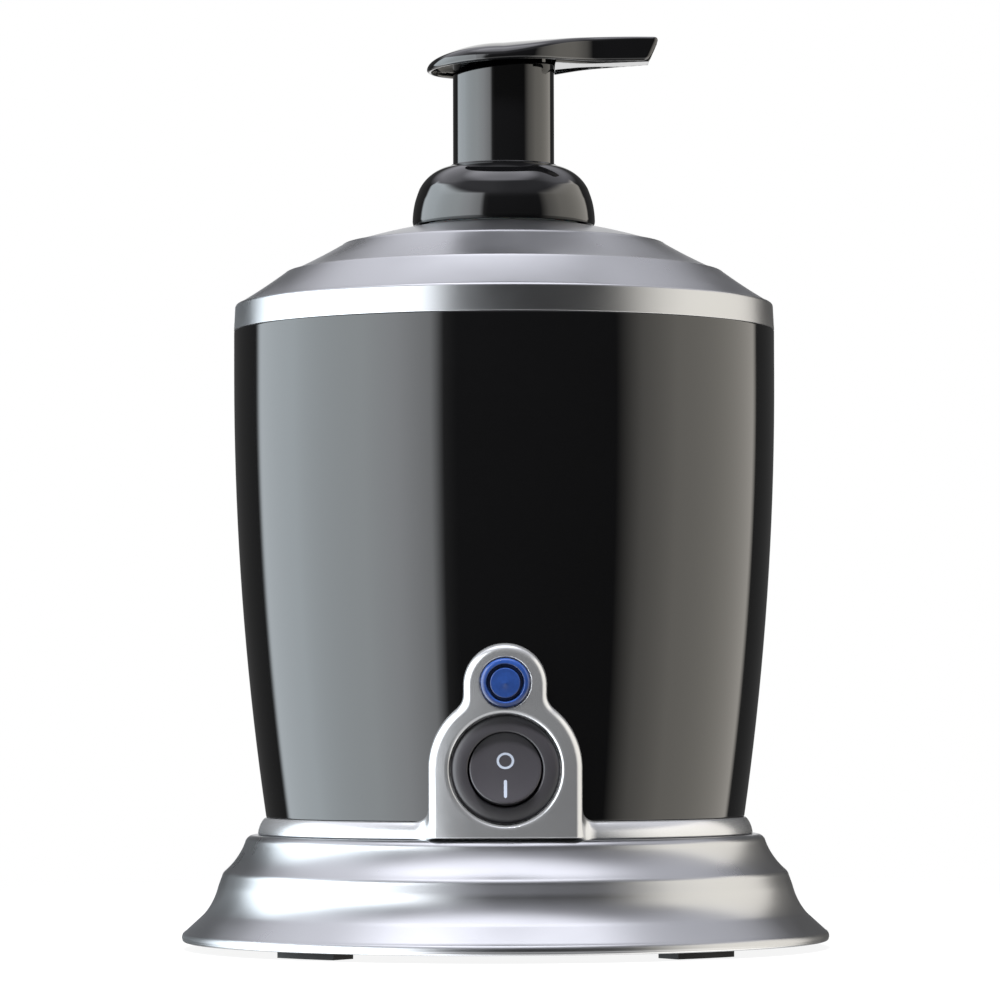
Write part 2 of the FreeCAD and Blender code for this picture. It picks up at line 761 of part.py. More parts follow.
HOLDER_OUTER = "(lens_shaft_radius + hole_gap + holder_wall)"


def make_barrel_shell():
    shell = turned("barrel_form", [
        bend("barrel_foot_radius - barrel_wall", RING_TOP, BARREL_CURVE, -1),
        corner("barrel_foot_radius", RING_TOP),
        bend("barrel_radius", SHOULDER, BARREL_CURVE, 1),
        corner("barrel_radius", BARREL_TOP),
        corner("barrel_radius - barrel_wall", BARREL_TOP),
        corner("barrel_radius - barrel_wall", SHOULDER),
    ])
    switch_way = on_panel(cylinder("barrel_switch_way", "switch_case_radius + case_gap",
                                   "3 * panel_depth"), "0", "-2 * panel_depth")
    lamp_way = on_panel(cylinder("barrel_lamp_way", f"{HOLDER_OUTER} + case_gap",
                                 "3 * panel_depth"), "lamp_rise", "-2 * panel_depth")
    return cut("barrel_cut", shell, switch_way, lamp_way)


node("barrel_shell", make_barrel_shell())

# ---------------------------------------------------------------------------------------------
# Top cover: a band, two concave tiers and a shallow mouth tier, with screw bosses below
# ---------------------------------------------------------------------------------------------

COVER_OUTSIDE = [
    corner("barrel_radius", BARREL_TOP),
    corner("barrel_radius - band_draft", f"{BAND_TOP} - band_round"),
    bend("barrel_radius - band_draft - band_round", BAND_TOP, "band_round", 1),
    bend("outer_tier_radius + tier_round", f"{OUTER_TIER} - tier_round * 0.6", "tier_sag_radius", -1),
    bend("outer_tier_radius - tier_round", OUTER_TIER, "2 * tier_round", 1),
    bend("inner_tier_radius + tier_round", f"{INNER_TIER} - tier_round * 0.6", "tier_sag_radius", -1),
    bend("inner_tier_radius - tier_round", INNER_TIER, "2 * tier_round", 1),
    bend("lid_neck_radius + neck_gap", MOUTH, "tier_sag_radius", 1),
]
COVER_SPIGOT_OUTER = "(barrel_radius - barrel_wall - spigot_gap)"
COVER_SPIGOT_INNER = f"({COVER_SPIGOT_OUTER} - spigot_wall)"
RODS_TOP = f"({OUTER_TIER} - rod_boss_length + rod_grip)"
ROD_BOSS_BASE = f"({OUTER_TIER} - rod_boss_length)"


def make_top_cover():
    shell = turned("cover_form", COVER_OUTSIDE + [
        corner("lid_neck_radius + neck_gap", f"{MOUTH} - cover_wall"),
        corner("inner_tier_radius", f"{INNER_TIER} - 1.2 * cover_wall"),
        corner("outer_tier_radius", f"{OUTER_TIER} - 1.3 * cover_wall"),
        corner(COVER_SPIGOT_INNER, f"{BAND_TOP} - cover_wall * 0.7"),
        corner(COVER_SPIGOT_INNER, f"{BARREL_TOP} - spigot_height"),
        corner(COVER_SPIGOT_OUTER, f"{BARREL_TOP} - spigot_height"),
        corner(COVER_SPIGOT_OUTER, BARREL_TOP),
    ])
    inside = turned("cover_inside", COVER_OUTSIDE + [
        corner("0", MOUTH),
        corner("0", f"{LID_TOP} - lid_thickness"),
        corner("barrel_radius", f"{LID_TOP} - lid_thickness"),
    ])
    rod_bosses = around("rod_boss", 3, ROD_FIRST, "rod_ring_radius", ROD_BOSS_BASE,
                        lambda name: cylinder(name, "rod_boss_radius", "2 * rod_boss_length"))
    lid_bosses = around("lid_boss", 4, LID_SCREW_FIRST, "lid_screw_ring", LID_TOP,
                        lambda name: cylinder(name, "lid_boss_radius", f"{MOUTH} - {LID_TOP}"))
    rod_bores = around("rod_bore", 3, ROD_FIRST, "rod_ring_radius", ROD_BOSS_BASE,
                       lambda name: cylinder(name, "rod_radius + slip_fit", "rod_grip + 1"))
    lid_bores = around("lid_bore", 4, LID_SCREW_FIRST, "lid_screw_ring", LID_TOP,
                       lambda name: cylinder(name, "lid_screw_radius + slip_fit", "lid_screw_grip + 1"))
    bosses = common("cover_bosses", fuse("cover_boss_set", *rod_bosses, *lid_bosses), inside)
    return cut("top_cover_cut", fuse("top_cover_solid", shell, bosses), *rod_bores, *lid_bores)


node("top_cover", make_top_cover())

ROD_LOW = f"({DECK_UNDER} - nut_height - 1.5)"
node("tie_rods", group("tie_rod_set", around(
    "tie_rod", 3, ROD_FIRST, "rod_ring_radius", ROD_LOW,
    lambda name: cylinder(name, "rod_radius", f"{RODS_TOP} - {ROD_LOW}"))))


def make_tie_nut(name):
    bore = cylinder(name + "_bore", "rod_radius + slip_fit", "nut_height")
    return group(name + "_at", [cut(name, hexagon(name + "_hex", "nut_radius", "nut_height"), bore)])


node("tie_nuts", group("tie_nut_set", around(
    "tie_nut", 3, ROD_FIRST, "rod_ring_radius", f"{DECK_UNDER} - nut_height", make_tie_nut)))

# ---------------------------------------------------------------------------------------------
# Tank and heater
# ---------------------------------------------------------------------------------------------

POT_OUTER = "(pot_radius + pot_wall)"


def make_tank_pot():
    pot = turned("pot_form", [
        corner("0", POT_BASE),
        corner(POT_OUTER, POT_BASE),
        corner(POT_OUTER, f"{POT_RIM} - pot_wall"),
        corner("tank_flange_radius", f"{POT_RIM} - pot_wall"),
        corner("tank_flange_radius", POT_RIM),
        corner("pot_radius", POT_RIM),
        corner("pot_radius", f"{POT_BASE} + pot_floor"),
        corner("0", f"{POT_BASE} + pot_floor"),
    ])
    holes = around("pot_hole", 4, LID_SCREW_FIRST, "lid_screw_ring", f"{POT_RIM} - pot_wall",
                   lambda name: cylinder(name, "lid_screw_radius + hole_gap", "pot_wall"))
    return cut("pot_cut", pot, *holes)


def lug_ring(name, inner, outer, bottom, height, first):
    """Three bayonet lugs, each an arc of a flat ring."""
    lugs = []
    for i in range(3):
        angle = f"({first} + {i} * 120)"
        whole = cylinder(f"{name}_outer_{i + 1}", outer, height, "lug_angle")
        core = cylinder(f"{name}_inner_{i + 1}", inner, height, "lug_angle")
        place(whole, level=bottom, angle=angle)
        place(core, level=bottom, angle=angle)
        lugs.append(cut(f"{name}_{i + 1}", whole, core))
    return lugs


NECK_LUG_BASE = f"({NECK_TOP} - lug_drop - lug_height)"


def make_tank_lid():
    lid = turned("lid_form", [
        corner("neck_bore", LID_UNDER),
        corner("tank_flange_radius", LID_UNDER),
        corner("tank_flange_radius", LID_TOP),
        corner("lid_neck_radius", LID_TOP),
        corner("lid_neck_radius", MOUTH),
        corner("neck_radius", MOUTH),
        corner("neck_radius", NECK_TOP),
        corner("neck_bore", NECK_TOP),
    ])
    lugs = lug_ring("neck_lug", "neck_radius - 0.5", "neck_radius + lug_reach",
                    NECK_LUG_BASE, "lug_height", "0")
    holes = around("lid_hole", 4, LID_SCREW_FIRST, "lid_screw_ring", LID_UNDER,
                   lambda name: cylinder(name, "lid_screw_radius + hole_gap", "lid_thickness"))
    return cut("lid_cut", fuse("lid_solid", lid, *lugs), *holes)


node("tank_pot", make_tank_pot())
node("tank_seal", tube("tank_seal_ring", "pot_radius + pot_wall + seal_width", "pot_radius + pot_wall",
                       POT_RIM, LID_UNDER))
node("tank_lid", make_tank_lid())
LID_SCREW_LENGTH = "(pot_wall + seal_height + lid_thickness + lid_screw_grip)"
node("lid_screws", group("lid_screw_set", around(
    "lid_screw", 4, LID_SCREW_FIRST, "lid_screw_ring", f"{POT_RIM} - pot_wall",
    lambda name: group(name + "_at", [screw(name, "lid_screw_radius", LID_SCREW_LENGTH, False)]))))

ELEMENT_LEVEL = f"({INSULATION_TOP} + element_radius + hole_gap)"
PIN_ANGLES = ("(90 - element_gap_angle / 2)", "(90 + element_gap_angle / 2)")


def at_pins(name, radius, bottom, height):
    """A cylinder at each end of the heating element."""
    pins = []
    for i, angle in enumerate(PIN_ANGLES):
        pin = cylinder(f"{name}_{i + 1}", radius, height)
        place(pin, f"element_ring_radius * cos({angle})", f"element_ring_radius * sin({angle})", bottom)
        pins.append(pin)
    return pins


def make_heater_plate():
    plate = cylinder("heater_disc", "heater_radius", "heater_height")
    place(plate, level=INSULATION_TOP)
    groove = tube("heater_groove", "element_ring_radius + element_radius + 2 * hole_gap",
                  "element_ring_radius - element_radius - 2 * hole_gap",
                  f"{INSULATION_TOP} - 1", f"{ELEMENT_LEVEL} + element_radius + hole_gap")
    return cut("heater_plate_cut", plate, groove)


def make_heating_element():
    ring = doc.addObject("Part::Torus", "element_ring")
    ring.setExpression("Radius1", bound("element_ring_radius"))
    ring.setExpression("Radius2", bound("element_radius"))
    ring.setExpression("Angle3", bound("360 - element_gap_angle"))
    place(ring, level=ELEMENT_LEVEL, angle="(90 + element_gap_angle / 2)")
    pins = at_pins("element_pin", "element_pin_radius", f"{ELEMENT_LEVEL} - element_pin_length",
                   "element_pin_length")
    return fuse("heating_element_solid", ring, *pins)


def make_insulation_pad():
    pad = tube("insulation_ring", "insulation_radius", "sensor_hole_radius", BRACKET_TOP, INSULATION_TOP)
    holes = at_pins("insulation_hole", "element_pin_radius + element_radius", BRACKET_TOP,
                    "insulation_height")
    return cut("insulation_cut", pad, *holes)


def make_heater_bracket():
    """A pressed disc on three legs with feet turned outwards."""
    sheet_base = f"{BRACKET_TOP} - bracket_sheet"
    disc = tube("bracket_disc", "bracket_radius", "sensor_hole_radius - 2", sheet_base, BRACKET_TOP)
    legs = []
    holes = at_pins("bracket_pin_hole", "element_pin_radius + 1", sheet_base, "bracket_sheet")
    for i in range(3):
        angle = f"({LEG_FIRST} + {i} * 120)"
        leg = box(f"bracket_leg_{i + 1}", "bracket_sheet", "bracket_leg_width", "bracket_height")
        foot = box(f"bracket_foot_{i + 1}", "bracket_foot_reach - bracket_radius + bracket_sheet",
                   "bracket_leg_width", "bracket_sheet")
        edge = "(bracket_radius - bracket_sheet)"
        across = f"{edge} * cos({angle}) + bracket_leg_width / 2 * sin({angle})"
        depth = f"{edge} * sin({angle}) - bracket_leg_width / 2 * cos({angle})"
        place(leg, across, depth, DECK, angle)
        place(foot, across, depth, DECK, angle)
        legs += [leg, foot]
    holes += around("bracket_screw_hole", 3, LEG_FIRST, "bracket_screw_ring", DECK,
                    lambda name: cylinder(name, "lid_screw_radius + hole_gap", "bracket_sheet"))
    return cut("bracket_cut", fuse("bracket_solid", disc, *legs), *holes)


node("heater_plate", make_heater_plate())
node("heating_element", make_heating_element())
node("insulation_pad", make_insulation_pad())
node("heater_bracket", make_heater_bracket())
node("heater_screws", group("heater_screw_set", around(
    "heater_screw", 3, LEG_FIRST, "bracket_screw_ring", f"{DECK} + bracket_sheet",
    lambda name: group(name + "_at", [screw(name, "lid_screw_radius",
                                            "bracket_sheet + deck_thickness + 1", True)]))))
node("thermostat", place(cylinder("thermostat_case", "thermostat_radius", "thermostat_height"),
                         "-thermostat_shift", "0", f"{INSULATION_TOP} - thermostat_height"))
node("thermal_fuse", place(cylinder("fuse_case", "fuse_radius", "fuse_length"), "fuse_shift",
                           "fuse_length / 2", f"{INSULATION_TOP} - fuse_radius - hole_gap",
                           "90", (1, 0, 0)))

# ---------------------------------------------------------------------------------------------
# Rocker switch and lamp, square on the panel
# ---------------------------------------------------------------------------------------------

BEZEL_TOP = "(bezel_thickness - bezel_sink)"
PIVOT_OUT = f"({BEZEL_TOP} - pivot_depth)"


def across_panel(item, up, out, half):
    """Lays a cylinder along X, centred in front of the panel."""
    depth = f"-panel_reach - ({up}) * sin(panel_tilt) - ({out}) * cos(panel_tilt)"
    level = f"{SWITCH_LEVEL} + ({up}) * cos(panel_tilt) - ({out}) * sin(panel_tilt)"
    return place(item, f"-({half})", depth, level, "90", (0, 1, 0))


def make_switch_body():
    bezel = on_panel(cylinder("bezel_disc", "bezel_radius", "bezel_thickness"), "0", "-bezel_sink")
    case = on_panel(cylinder("switch_case", "switch_case_radius", "switch_case_length"),
                    "0", "-bezel_sink - switch_case_length")
    well = on_panel(cylinder("switch_well", "well_radius", "well_depth + 1"),
                    "0", f"{BEZEL_TOP} - well_depth")
    bearing = across_panel(cylinder("switch_bearing", "trunnion_radius + slip_fit",
                                    "2 * trunnion_reach + 0.2"), "0", PIVOT_OUT, "trunnion_reach + 0.1")
    return cut("switch_body_cut", fuse("switch_body_solid", bezel, case), well, bearing)


def make_rocker():
    """A round key with a hollow face, tilted about its trunnions to its off position."""
    key = place(cylinder("rocker_key", "rocker_radius", "rocker_back + 2 * rocker_face"),
                level="-rocker_back")
    keep = ball("rocker_ball", "rocker_ball_radius")
    scoop = place(cylinder("rocker_scoop", "rocker_hollow", "4 * rocker_radius"),
                  "-2 * rocker_radius", "0", "rocker_face + rocker_hollow", "90", (0, 1, 0))
    trunnion = place(cylinder("rocker_trunnion", "trunnion_radius", "2 * trunnion_reach"),
                     "-trunnion_reach", "0", "0", "90", (0, 1, 0))
    form = cut("rocker_form", common("rocker_round", key, keep), scoop)
    rocker = group("rocker_set", [fuse("rocker_solid", form, trunnion)])
    on_panel(rocker, "0", PIVOT_OUT)
    rocker.setExpression("Placement.Rotation.Angle", bound("90 + panel_tilt - rocker_tilt_angle"))
    return rocker


def make_terminals():
    blades = []
    for i in range(3):
        blade = box(f"switch_blade_{i + 1}", "blade_width", "blade_sheet", "blade_length")
        on_panel(blade, f"({i} - 1) * blade_spacing - blade_sheet / 2",
                 "-bezel_sink - switch_case_length - blade_length", "-blade_width / 2")
        blades.append(blade)
    return group("blade_set", blades)


def make_lamp_lens():
    flange = on_panel(cylinder("lens_flange", "lens_radius", "lens_thickness"), "lamp_rise", "lens_seat")
    middle = on_panel(cylinder("lens_middle", "lens_radius - lens_dome * 4",
                               "lens_thickness + lens_dome"), "lamp_rise", "lens_seat")
    shaft = on_panel(cylinder("lens_shaft", "lens_shaft_radius", "lens_shaft_length"),
                     "lamp_rise", "lens_seat - lens_shaft_length")
    hollow = on_panel(cylinder("lens_hollow", "lens_shaft_radius - lens_wall", "lens_shaft_length"),
                      "lamp_rise", "lens_seat - lens_shaft_length")
    return cut("lens_cut", fuse("lens_solid", flange, middle, shaft), hollow)


def make_lamp_holder():
    cup = on_panel(cylinder("holder_cup", HOLDER_OUTER, "holder_length"),
                   "lamp_rise", "-holder_set - holder_length")
    inside = on_panel(cylinder("holder_inside", "lens_shaft_radius + hole_gap", "holder_length"),
                      "lamp_rise", "-holder_set - holder_length + 1.5 * holder_wall")
    return cut("holder_cut", cup, inside)


node("switch_body", make_switch_body())
node("switch_rocker", make_rocker())
node("switch_terminals", make_terminals())
node("lamp_lens", make_lamp_lens())
node("lamp_holder", make_lamp_holder())
node("lamp_bulb", on_panel(cylinder("bulb", "bulb_radius", "bulb_length"), "lamp_rise",
                           "-holder_set - holder_length + 1.5 * holder_wall"))

# ---------------------------------------------------------------------------------------------
# Cord inlet, terminal block and the leads inside
# ---------------------------------------------------------------------------------------------

GLAND_INNER_END = "(gland_seat - gland_boss_length - gland_tail)"
GLAND_OUTER_END = "(gland_seat + gland_flange_width + gland_nose)"


def along_depth(item, start, level="gland_level"):
    """Lays a cylinder along Y, from a start towards the front."""
    return place(item, "0", start, level, "90", (1, 0, 0))


def make_cord_gland():
    stem = along_depth(cylinder("gland_stem", "gland_radius", f"{GLAND_OUTER_END} - {GLAND_INNER_END}"),
                       GLAND_OUTER_END)
    flange = along_depth(cylinder("gland_flange", "gland_flange_radius", "gland_flange_width"),
                         "gland_seat + gland_flange_width")
    bore = along_depth(cylinder("gland_way", "gland_bore", f"{GLAND_OUTER_END} - {GLAND_INNER_END}"),
                       GLAND_OUTER_END)
    return cut("gland_cut", fuse("gland_solid", stem, flange), bore)


def make_gland_nut():
    start = "gland_seat - gland_boss_length"
    nut = along_depth(hexagon("gland_nut_hex", "gland_nut_radius", "gland_nut_width"), start)
    bore = along_depth(cylinder("gland_nut_bore", "gland_radius + slip_fit", "gland_nut_width"), start)
    return cut("gland_nut_cut", nut, bore)


def lead(name, route):
    """A covered wire: straight runs joined by tangent bends, through a list of points."""
    points = [FreeCAD.Vector(*[value(number) for number in spot]) for spot in route]
    size = value("lead_bend")
    edges = []
    start = points[0]
    for i in range(1, len(points) - 1):
        back = (points[i - 1] - points[i]).normalize()
        on = (points[i + 1] - points[i]).normalize()
        half_turn = (math.pi - back.getAngle(on)) / 2
        reach = size * math.tan(half_turn)
        entry, leave = points[i] + back * reach, points[i] + on * reach
        inward = (back + on).normalize()
        middle = points[i] + inward * (size / math.cos(half_turn) - size)
        edges.append(Part.LineSegment(start, entry).toShape())
        edges.append(Part.Arc(entry, middle, leave).toShape())
        start = leave
    edges.append(Part.LineSegment(start, points[-1]).toShape())
    path = Part.Wire(edges)
    circle = Part.Circle(points[0], points[1] - points[0], value("lead_radius"))
    item = doc.addObject("Part::Feature", name)
    item.Shape = path.makePipeShell([Part.Wire([circle.toShape()])], True, False)
    item.Placement = FreeCAD.Placement()
    return item


BLOCK_FRONT = "(block_place - block_width / 2)"
BLOCK_MIDDLE = f"({PLATE_TOP} + block_height / 2)"
BLADE_END_OUT = "(-bezel_sink - switch_case_length - blade_length - lead_end_gap)"


def blade_end(index):
    """The middle of a switch blade's end, as a point's depth and level."""
    up = f"(({index} - 1) * blade_spacing)"
    depth = f"(-panel_reach - {up} * sin(panel_tilt) - {BLADE_END_OUT} * cos(panel_tilt))"
    level = f"({SWITCH_LEVEL} + {up} * cos(panel_tilt) - {BLADE_END_OUT} * sin(panel_tilt))"
    return depth, level


def pin_foot(index):
    """The lower end of a heating-element pin."""
    angle = PIN_ANGLES[index]
    return (f"element_ring_radius * cos({angle})", f"element_ring_radius * sin({angle})",
            f"({ELEMENT_LEVEL} - element_pin_length - lead_end_gap)")


def lead_to_blade(name, index, side):
    """Runs from the terminal block, under the deck, up through it and on to a switch blade."""
    depth, level = blade_end(index)
    return lead(name, [
        (side, f"{BLOCK_FRONT} - lead_end_gap", BLOCK_MIDDLE),
        (side, "-lead_hole_place + 2", BLOCK_MIDDLE),
        (side, "-lead_hole_place + 2", level),
        (side, depth, level),
    ])


def blade_to_pin(name, index, pin, side):
    """Runs from a switch blade down through the deck and back to a heating-element pin."""
    depth, level = blade_end(index)
    across, back, foot = pin_foot(pin)
    low = f"({foot} - 2.5 * lead_bend)"
    return lead(name, [
        (side, depth, level),
        (side, "-lead_hole_place + 2", level),
        (side, "-lead_hole_place + 2", low),
        (across, back, low),
        (across, back, foot),
    ])


def block_to_pin(name, pin):
    """Runs from the terminal block up through the deck to a heating-element pin."""
    across, depth, level = pin_foot(pin)
    return lead(name, [
        (across, f"{BLOCK_FRONT} - lead_end_gap", BLOCK_MIDDLE),
        (across, depth, BLOCK_MIDDLE),
        (across, depth, level),
    ])


def lamp_to_blade(name):
    """Runs from the back of the lamp's holder down on to the uppermost switch blade."""
    back = "(-holder_set - holder_length - lead_end_gap)"
    depth = f"(-panel_reach - lamp_rise * sin(panel_tilt) - {back} * cos(panel_tilt))"
    level = f"({SWITCH_LEVEL} + lamp_rise * cos(panel_tilt) - {back} * sin(panel_tilt))"
    blade_depth, blade_level = blade_end(2)
    drop = f"({blade_depth} - blade_length / 2)"
    return lead(name, [
        ("0", depth, level),
        ("0", drop, level),
        ("0", drop, f"{blade_level} + blade_sheet / 2 + 2 * lead_end_gap"),
    ])


node("cord_gland", make_cord_gland())
node("gland_nut", make_gland_nut())
node("terminal_block", place(box("block_body", "block_length", "block_width", "block_height"),
                             "-block_length / 2", BLOCK_FRONT, PLATE_TOP))
node("live_lead", lead_to_blade("live_wire", 0, "-lead_radius - hole_gap"))
node("heater_lead", blade_to_pin("heater_wire", 1, 0, "lead_radius + hole_gap"))
node("neutral_lead", block_to_pin("neutral_wire", 1))
node("lamp_lead", lamp_to_blade("lamp_wire"))

# ---------------------------------------------------------------------------------------------
# Foam pump: housing, valve, tube, spring and pistons
# ---------------------------------------------------------------------------------------------

LIQUID_OUTER = "(liquid_cylinder_radius + liquid_cylinder_wall)"
BALL_LEVEL = f"({LIQUID_FLOOR} + sqrt(ball_radius ^ 2 - inlet_bore ^ 2))"
TUBE_TOP = f"({SOCKET_TOP} - hole_gap)"
TUBE_FOOT = f"({POT_BASE} + pot_floor + tube_floor_gap)"
STEM_BORE = "(stem_radius + slip_fit)"


def make_pump_housing():
    return turned("pump_form", [
        corner("air_cylinder_radius", FLANGE_TOP),
        corner("air_cylinder_radius", AIR_FLOOR),
        corner("liquid_cylinder_radius", AIR_FLOOR),
        corner("liquid_cylinder_radius", LIQUID_FLOOR),
        corner("inlet_bore", LIQUID_FLOOR),
        corner("inlet_bore", SOCKET_TOP),
        corner("tube_radius + slip_fit", SOCKET_TOP),
        corner("tube_radius + slip_fit", f"{SOCKET_TOP} - inlet_socket_length"),
        corner("tube_radius + liquid_cylinder_wall + slip_fit", f"{SOCKET_TOP} - inlet_socket_length"),
        corner("tube_radius + liquid_cylinder_wall + slip_fit", f"{SOCKET_TOP} + liquid_cylinder_wall"),
        corner(LIQUID_OUTER, f"{SOCKET_TOP} + liquid_cylinder_wall"),
        corner(LIQUID_OUTER, f"{AIR_FLOOR} - air_cylinder_wall"),
        corner("air_cylinder_radius + air_cylinder_wall", f"{AIR_FLOOR} - air_cylinder_wall"),
        corner("air_cylinder_radius + air_cylinder_wall", FLANGE_UNDER),
        corner("pump_flange_radius", FLANGE_UNDER),
        corner("pump_flange_radius", FLANGE_TOP),
    ])


def make_air_piston():
    rim = "(air_cylinder_radius - piston_fit)"
    return turned("air_piston_form", [
        corner(STEM_BORE, PISTON_LEVEL),
        corner(f"{rim} - 1", PISTON_LEVEL),
        corner(f"{rim} - 1", f"{PISTON_LEVEL} - 0.4 * air_piston_lip"),
        corner(rim, f"{PISTON_LEVEL} - 0.4 * air_piston_lip"),
        corner(rim, f"{PISTON_LEVEL} + 0.6 * air_piston_lip"),
        corner(f"{rim} - 1", f"{PISTON_LEVEL} + 0.6 * air_piston_lip"),
        corner(f"{rim} - 1", f"{PISTON_LEVEL} + 1.6"),
        corner(STEM_BORE, f"{PISTON_LEVEL} + 1.6"),
    ])


def make_return_spring():
    """A steel coil between the air cylinder's floor and the air piston."""
    wire, turns = value("spring_wire"), value("spring_turns")
    radius = value("spring_radius")
    low = value(f"{AIR_FLOOR} + spring_wire + hole_gap")
    high = value(f"{PISTON_LEVEL} - spring_wire - hole_gap")
    path = Part.makeHelix((high - low) / turns, high - low, radius)
    path.translate(FreeCAD.Vector(0, 0, low))
    circle = Part.Circle(FreeCAD.Vector(radius, 0, low), FreeCAD.Vector(0, 1, 0), wire)
    item = doc.addObject("Part::Feature", "spring_coil")
    item.Shape = Part.Wire(path.Edges).makePipeShell([Part.Wire([circle.toShape()])], True, True)
    item.Placement = FreeCAD.Placement()
    return item


node("pump_housing", make_pump_housing())
node("pump_gasket", tube("gasket_ring", "pump_flange_radius", "neck_bore", NECK_TOP, FLANGE_UNDER))
node("inlet_ball", place(ball("ball", "ball_radius"), level=BALL_LEVEL))
node("dip_tube", tube("dip_tube_form", "tube_radius", "tube_radius - tube_wall", TUBE_FOOT, TUBE_TOP))
node("return_spring", make_return_spring())
node("pump_stem", tube("stem_form", "stem_radius", "stem_radius - stem_wall", STEM_BASE, STEM_TOP))
node("air_piston", make_air_piston())
node("liquid_piston", tube("liquid_piston_form", "liquid_cylinder_radius - piston_fit",
                           "stem_radius + 0.4 * slip_fit", STEM_BASE,
                           f"{STEM_BASE} + liquid_piston_height"))
node("foam_cartridge", tube("cartridge_form", "cartridge_radius", "cartridge_radius - stem_wall",
                            STEM_TOP, f"{STEM_TOP} + cartridge_height"))

# ---------------------------------------------------------------------------------------------
# Bayonet collar over the neck
# ---------------------------------------------------------------------------------------------

COLLAR_HOLE = "(skirt_radius + collar_hole_gap)"
COLLAR_ROOF = f"({COLLAR_TOP} - collar_lip_height)"
COLLAR_SHOULDER = f"({FLANGE_TOP} + hole_gap)"


def make_pump_collar():
    cap = turned("collar_form", [
        corner("collar_radius - collar_wall", COLLAR_BASE),
        corner("collar_radius - 0.3", COLLAR_BASE),
        bend("collar_radius", f"{COLLAR_BASE} + 1.2", "2.4", 1),
        bend("collar_radius - 1.1", f"{COLLAR_BASE} + collar_side_height", "collar_side_radius", 1),
        bend(f"{COLLAR_HOLE} + collar_lip_width + 0.2", COLLAR_ROOF, "collar_dome_radius", 1),
        corner(f"{COLLAR_HOLE} + collar_lip_width", COLLAR_TOP),
        corner(COLLAR_HOLE, COLLAR_TOP),
        corner(COLLAR_HOLE, f"{COLLAR_ROOF} - collar_wall"),
        corner("neck_bore - 1", f"{COLLAR_ROOF} - collar_wall"),
        corner("neck_bore - 1", COLLAR_SHOULDER),
        corner("neck_radius + slip_fit + 0.6", COLLAR_SHOULDER),
        corner("neck_radius + slip_fit + 0.6", f"{NECK_LUG_BASE} + lug_height + 0.8"),
        corner("collar_radius - collar_wall", f"{NECK_LUG_BASE} + lug_height"),
    ])
    lugs = lug_ring("collar_lug", "neck_radius + slip_fit + 0.2", "collar_radius - collar_wall + 0.3",
                    f"{MOUTH} + hole_gap", f"{NECK_LUG_BASE} - {MOUTH} - 2 * hole_gap", "60")
    return fuse("collar_solid", cap, *lugs)


node("pump_collar", make_pump_collar())

# ---------------------------------------------------------------------------------------------
# Head: a skirt, a crowned thumb plate and a spout that narrows to its tip
# ---------------------------------------------------------------------------------------------

CROWN_AXIS = f"({HEAD_RIM} + crown_rise - crown_cross_radius)"
STRIP_START_LEVEL = f"({HEAD_RIM} + strip_start_rise)"
STRIP_TIP_LEVEL = f"({HEAD_RIM} + strip_tip_rise)"


def head_plan(name, inset, reach):
    """The head seen from above, drawn in by an inset: a round plate blending into a beak."""
    low = f"{SKIRT_BASE} - 1"
    tall = f"{HEAD_RIM} + 2 * crown_rise - ({low})"
    slope = "((beak_root_half - beak_tip_half) / head_reach)"
    plate = place(cylinder(name + "_round", f"head_radius - ({inset})", tall), level=low)
    beak = padded(name + "_beak", [
        corner("0", f"-(beak_root_half - ({inset}))"),
        corner(reach, f"-(beak_root_half - ({inset}) - {slope} * ({reach}))"),
        corner(reach, f"beak_root_half - ({inset}) - {slope} * ({reach})"),
        corner("0", f"beak_root_half - ({inset})"),
    ], tall, start=low)
    joined = fuse(name + "_joined", plate, beak)

    def in_waist(edge):
        """The two inward corners between the plate and the beak."""
        start, end = edge.firstVertex().Point, edge.lastVertex().Point
        upright = (start.sub(end)).getAngle(FreeCAD.Vector(0, 0, 1)) in (0, math.pi)
        return edge.Curve.TypeId == "Part::GeomLine" and upright and 1 < start.x < value("head_radius")

    return rounded(name, joined, f"beak_blend + ({inset})", in_waist)


def crown(name, drop):
    """What lies under the head's crowned top, lowered by a drop."""
    body = doc.addObject("PartDesign::Body", name)
    tail, tip = "(-head_radius - 1)", "(head_reach + 1)"
    rise = f"(crown_cross_radius - ({drop}))"
    sketch = sketched(body, "XZ_Plane", [
        corner(tail, "0"),
        corner(tip, "0"),
        corner(tip, f"{rise} + crown_tip_rise - crown_rise"),
        bend("0", rise, "crown_long_radius", 1),
        bend(tail, f"{rise} + head_edge - crown_rise", "crown_tail_radius", 1),
    ])
    feature = body.newObject("PartDesign::Revolution", name + "_turn")
    feature.Profile = sketch
    feature.ReferenceAxis = (sketch, ["H_Axis"])
    feature.Angle = 360
    return place(body, level=CROWN_AXIS)


def below_rim(name):
    """All that lies below the plate's rim or past the spout's slanting end."""
    width = "(3 * head_radius)"
    return padded(name, [
        corner("-2 * head_radius", f"{SKIRT_BASE} - 2"),
        corner("2 * head_reach", f"{SKIRT_BASE} - 2"),
        corner("2 * head_reach", f"{HEAD_RIM} + 3 * crown_rise"),
        corner("head_reach", f"{HEAD_RIM} + 3 * crown_rise"),
        corner("head_reach", f"{HEAD_RIM} + crown_tip_rise"),
        corner("head_reach - tip_slant", f"{HEAD_RIM} + rim_tip_rise"),
        corner("head_radius - tip_slant", f"{HEAD_RIM} + rim_waist_rise"),
        corner("-head_radius", HEAD_RIM),
        corner("-2 * head_radius", HEAD_RIM),
    ], width, "XZ_Plane", f"-{width} / 2")


def spout_hollow(name, half, low, high, start):
    """A straight way along the spout, between two levels."""
    way = box(name, f"head_reach - ({start})", f"2 * ({half})", f"({high}) - ({low})")
    return place(way, start, f"-({half})", low)


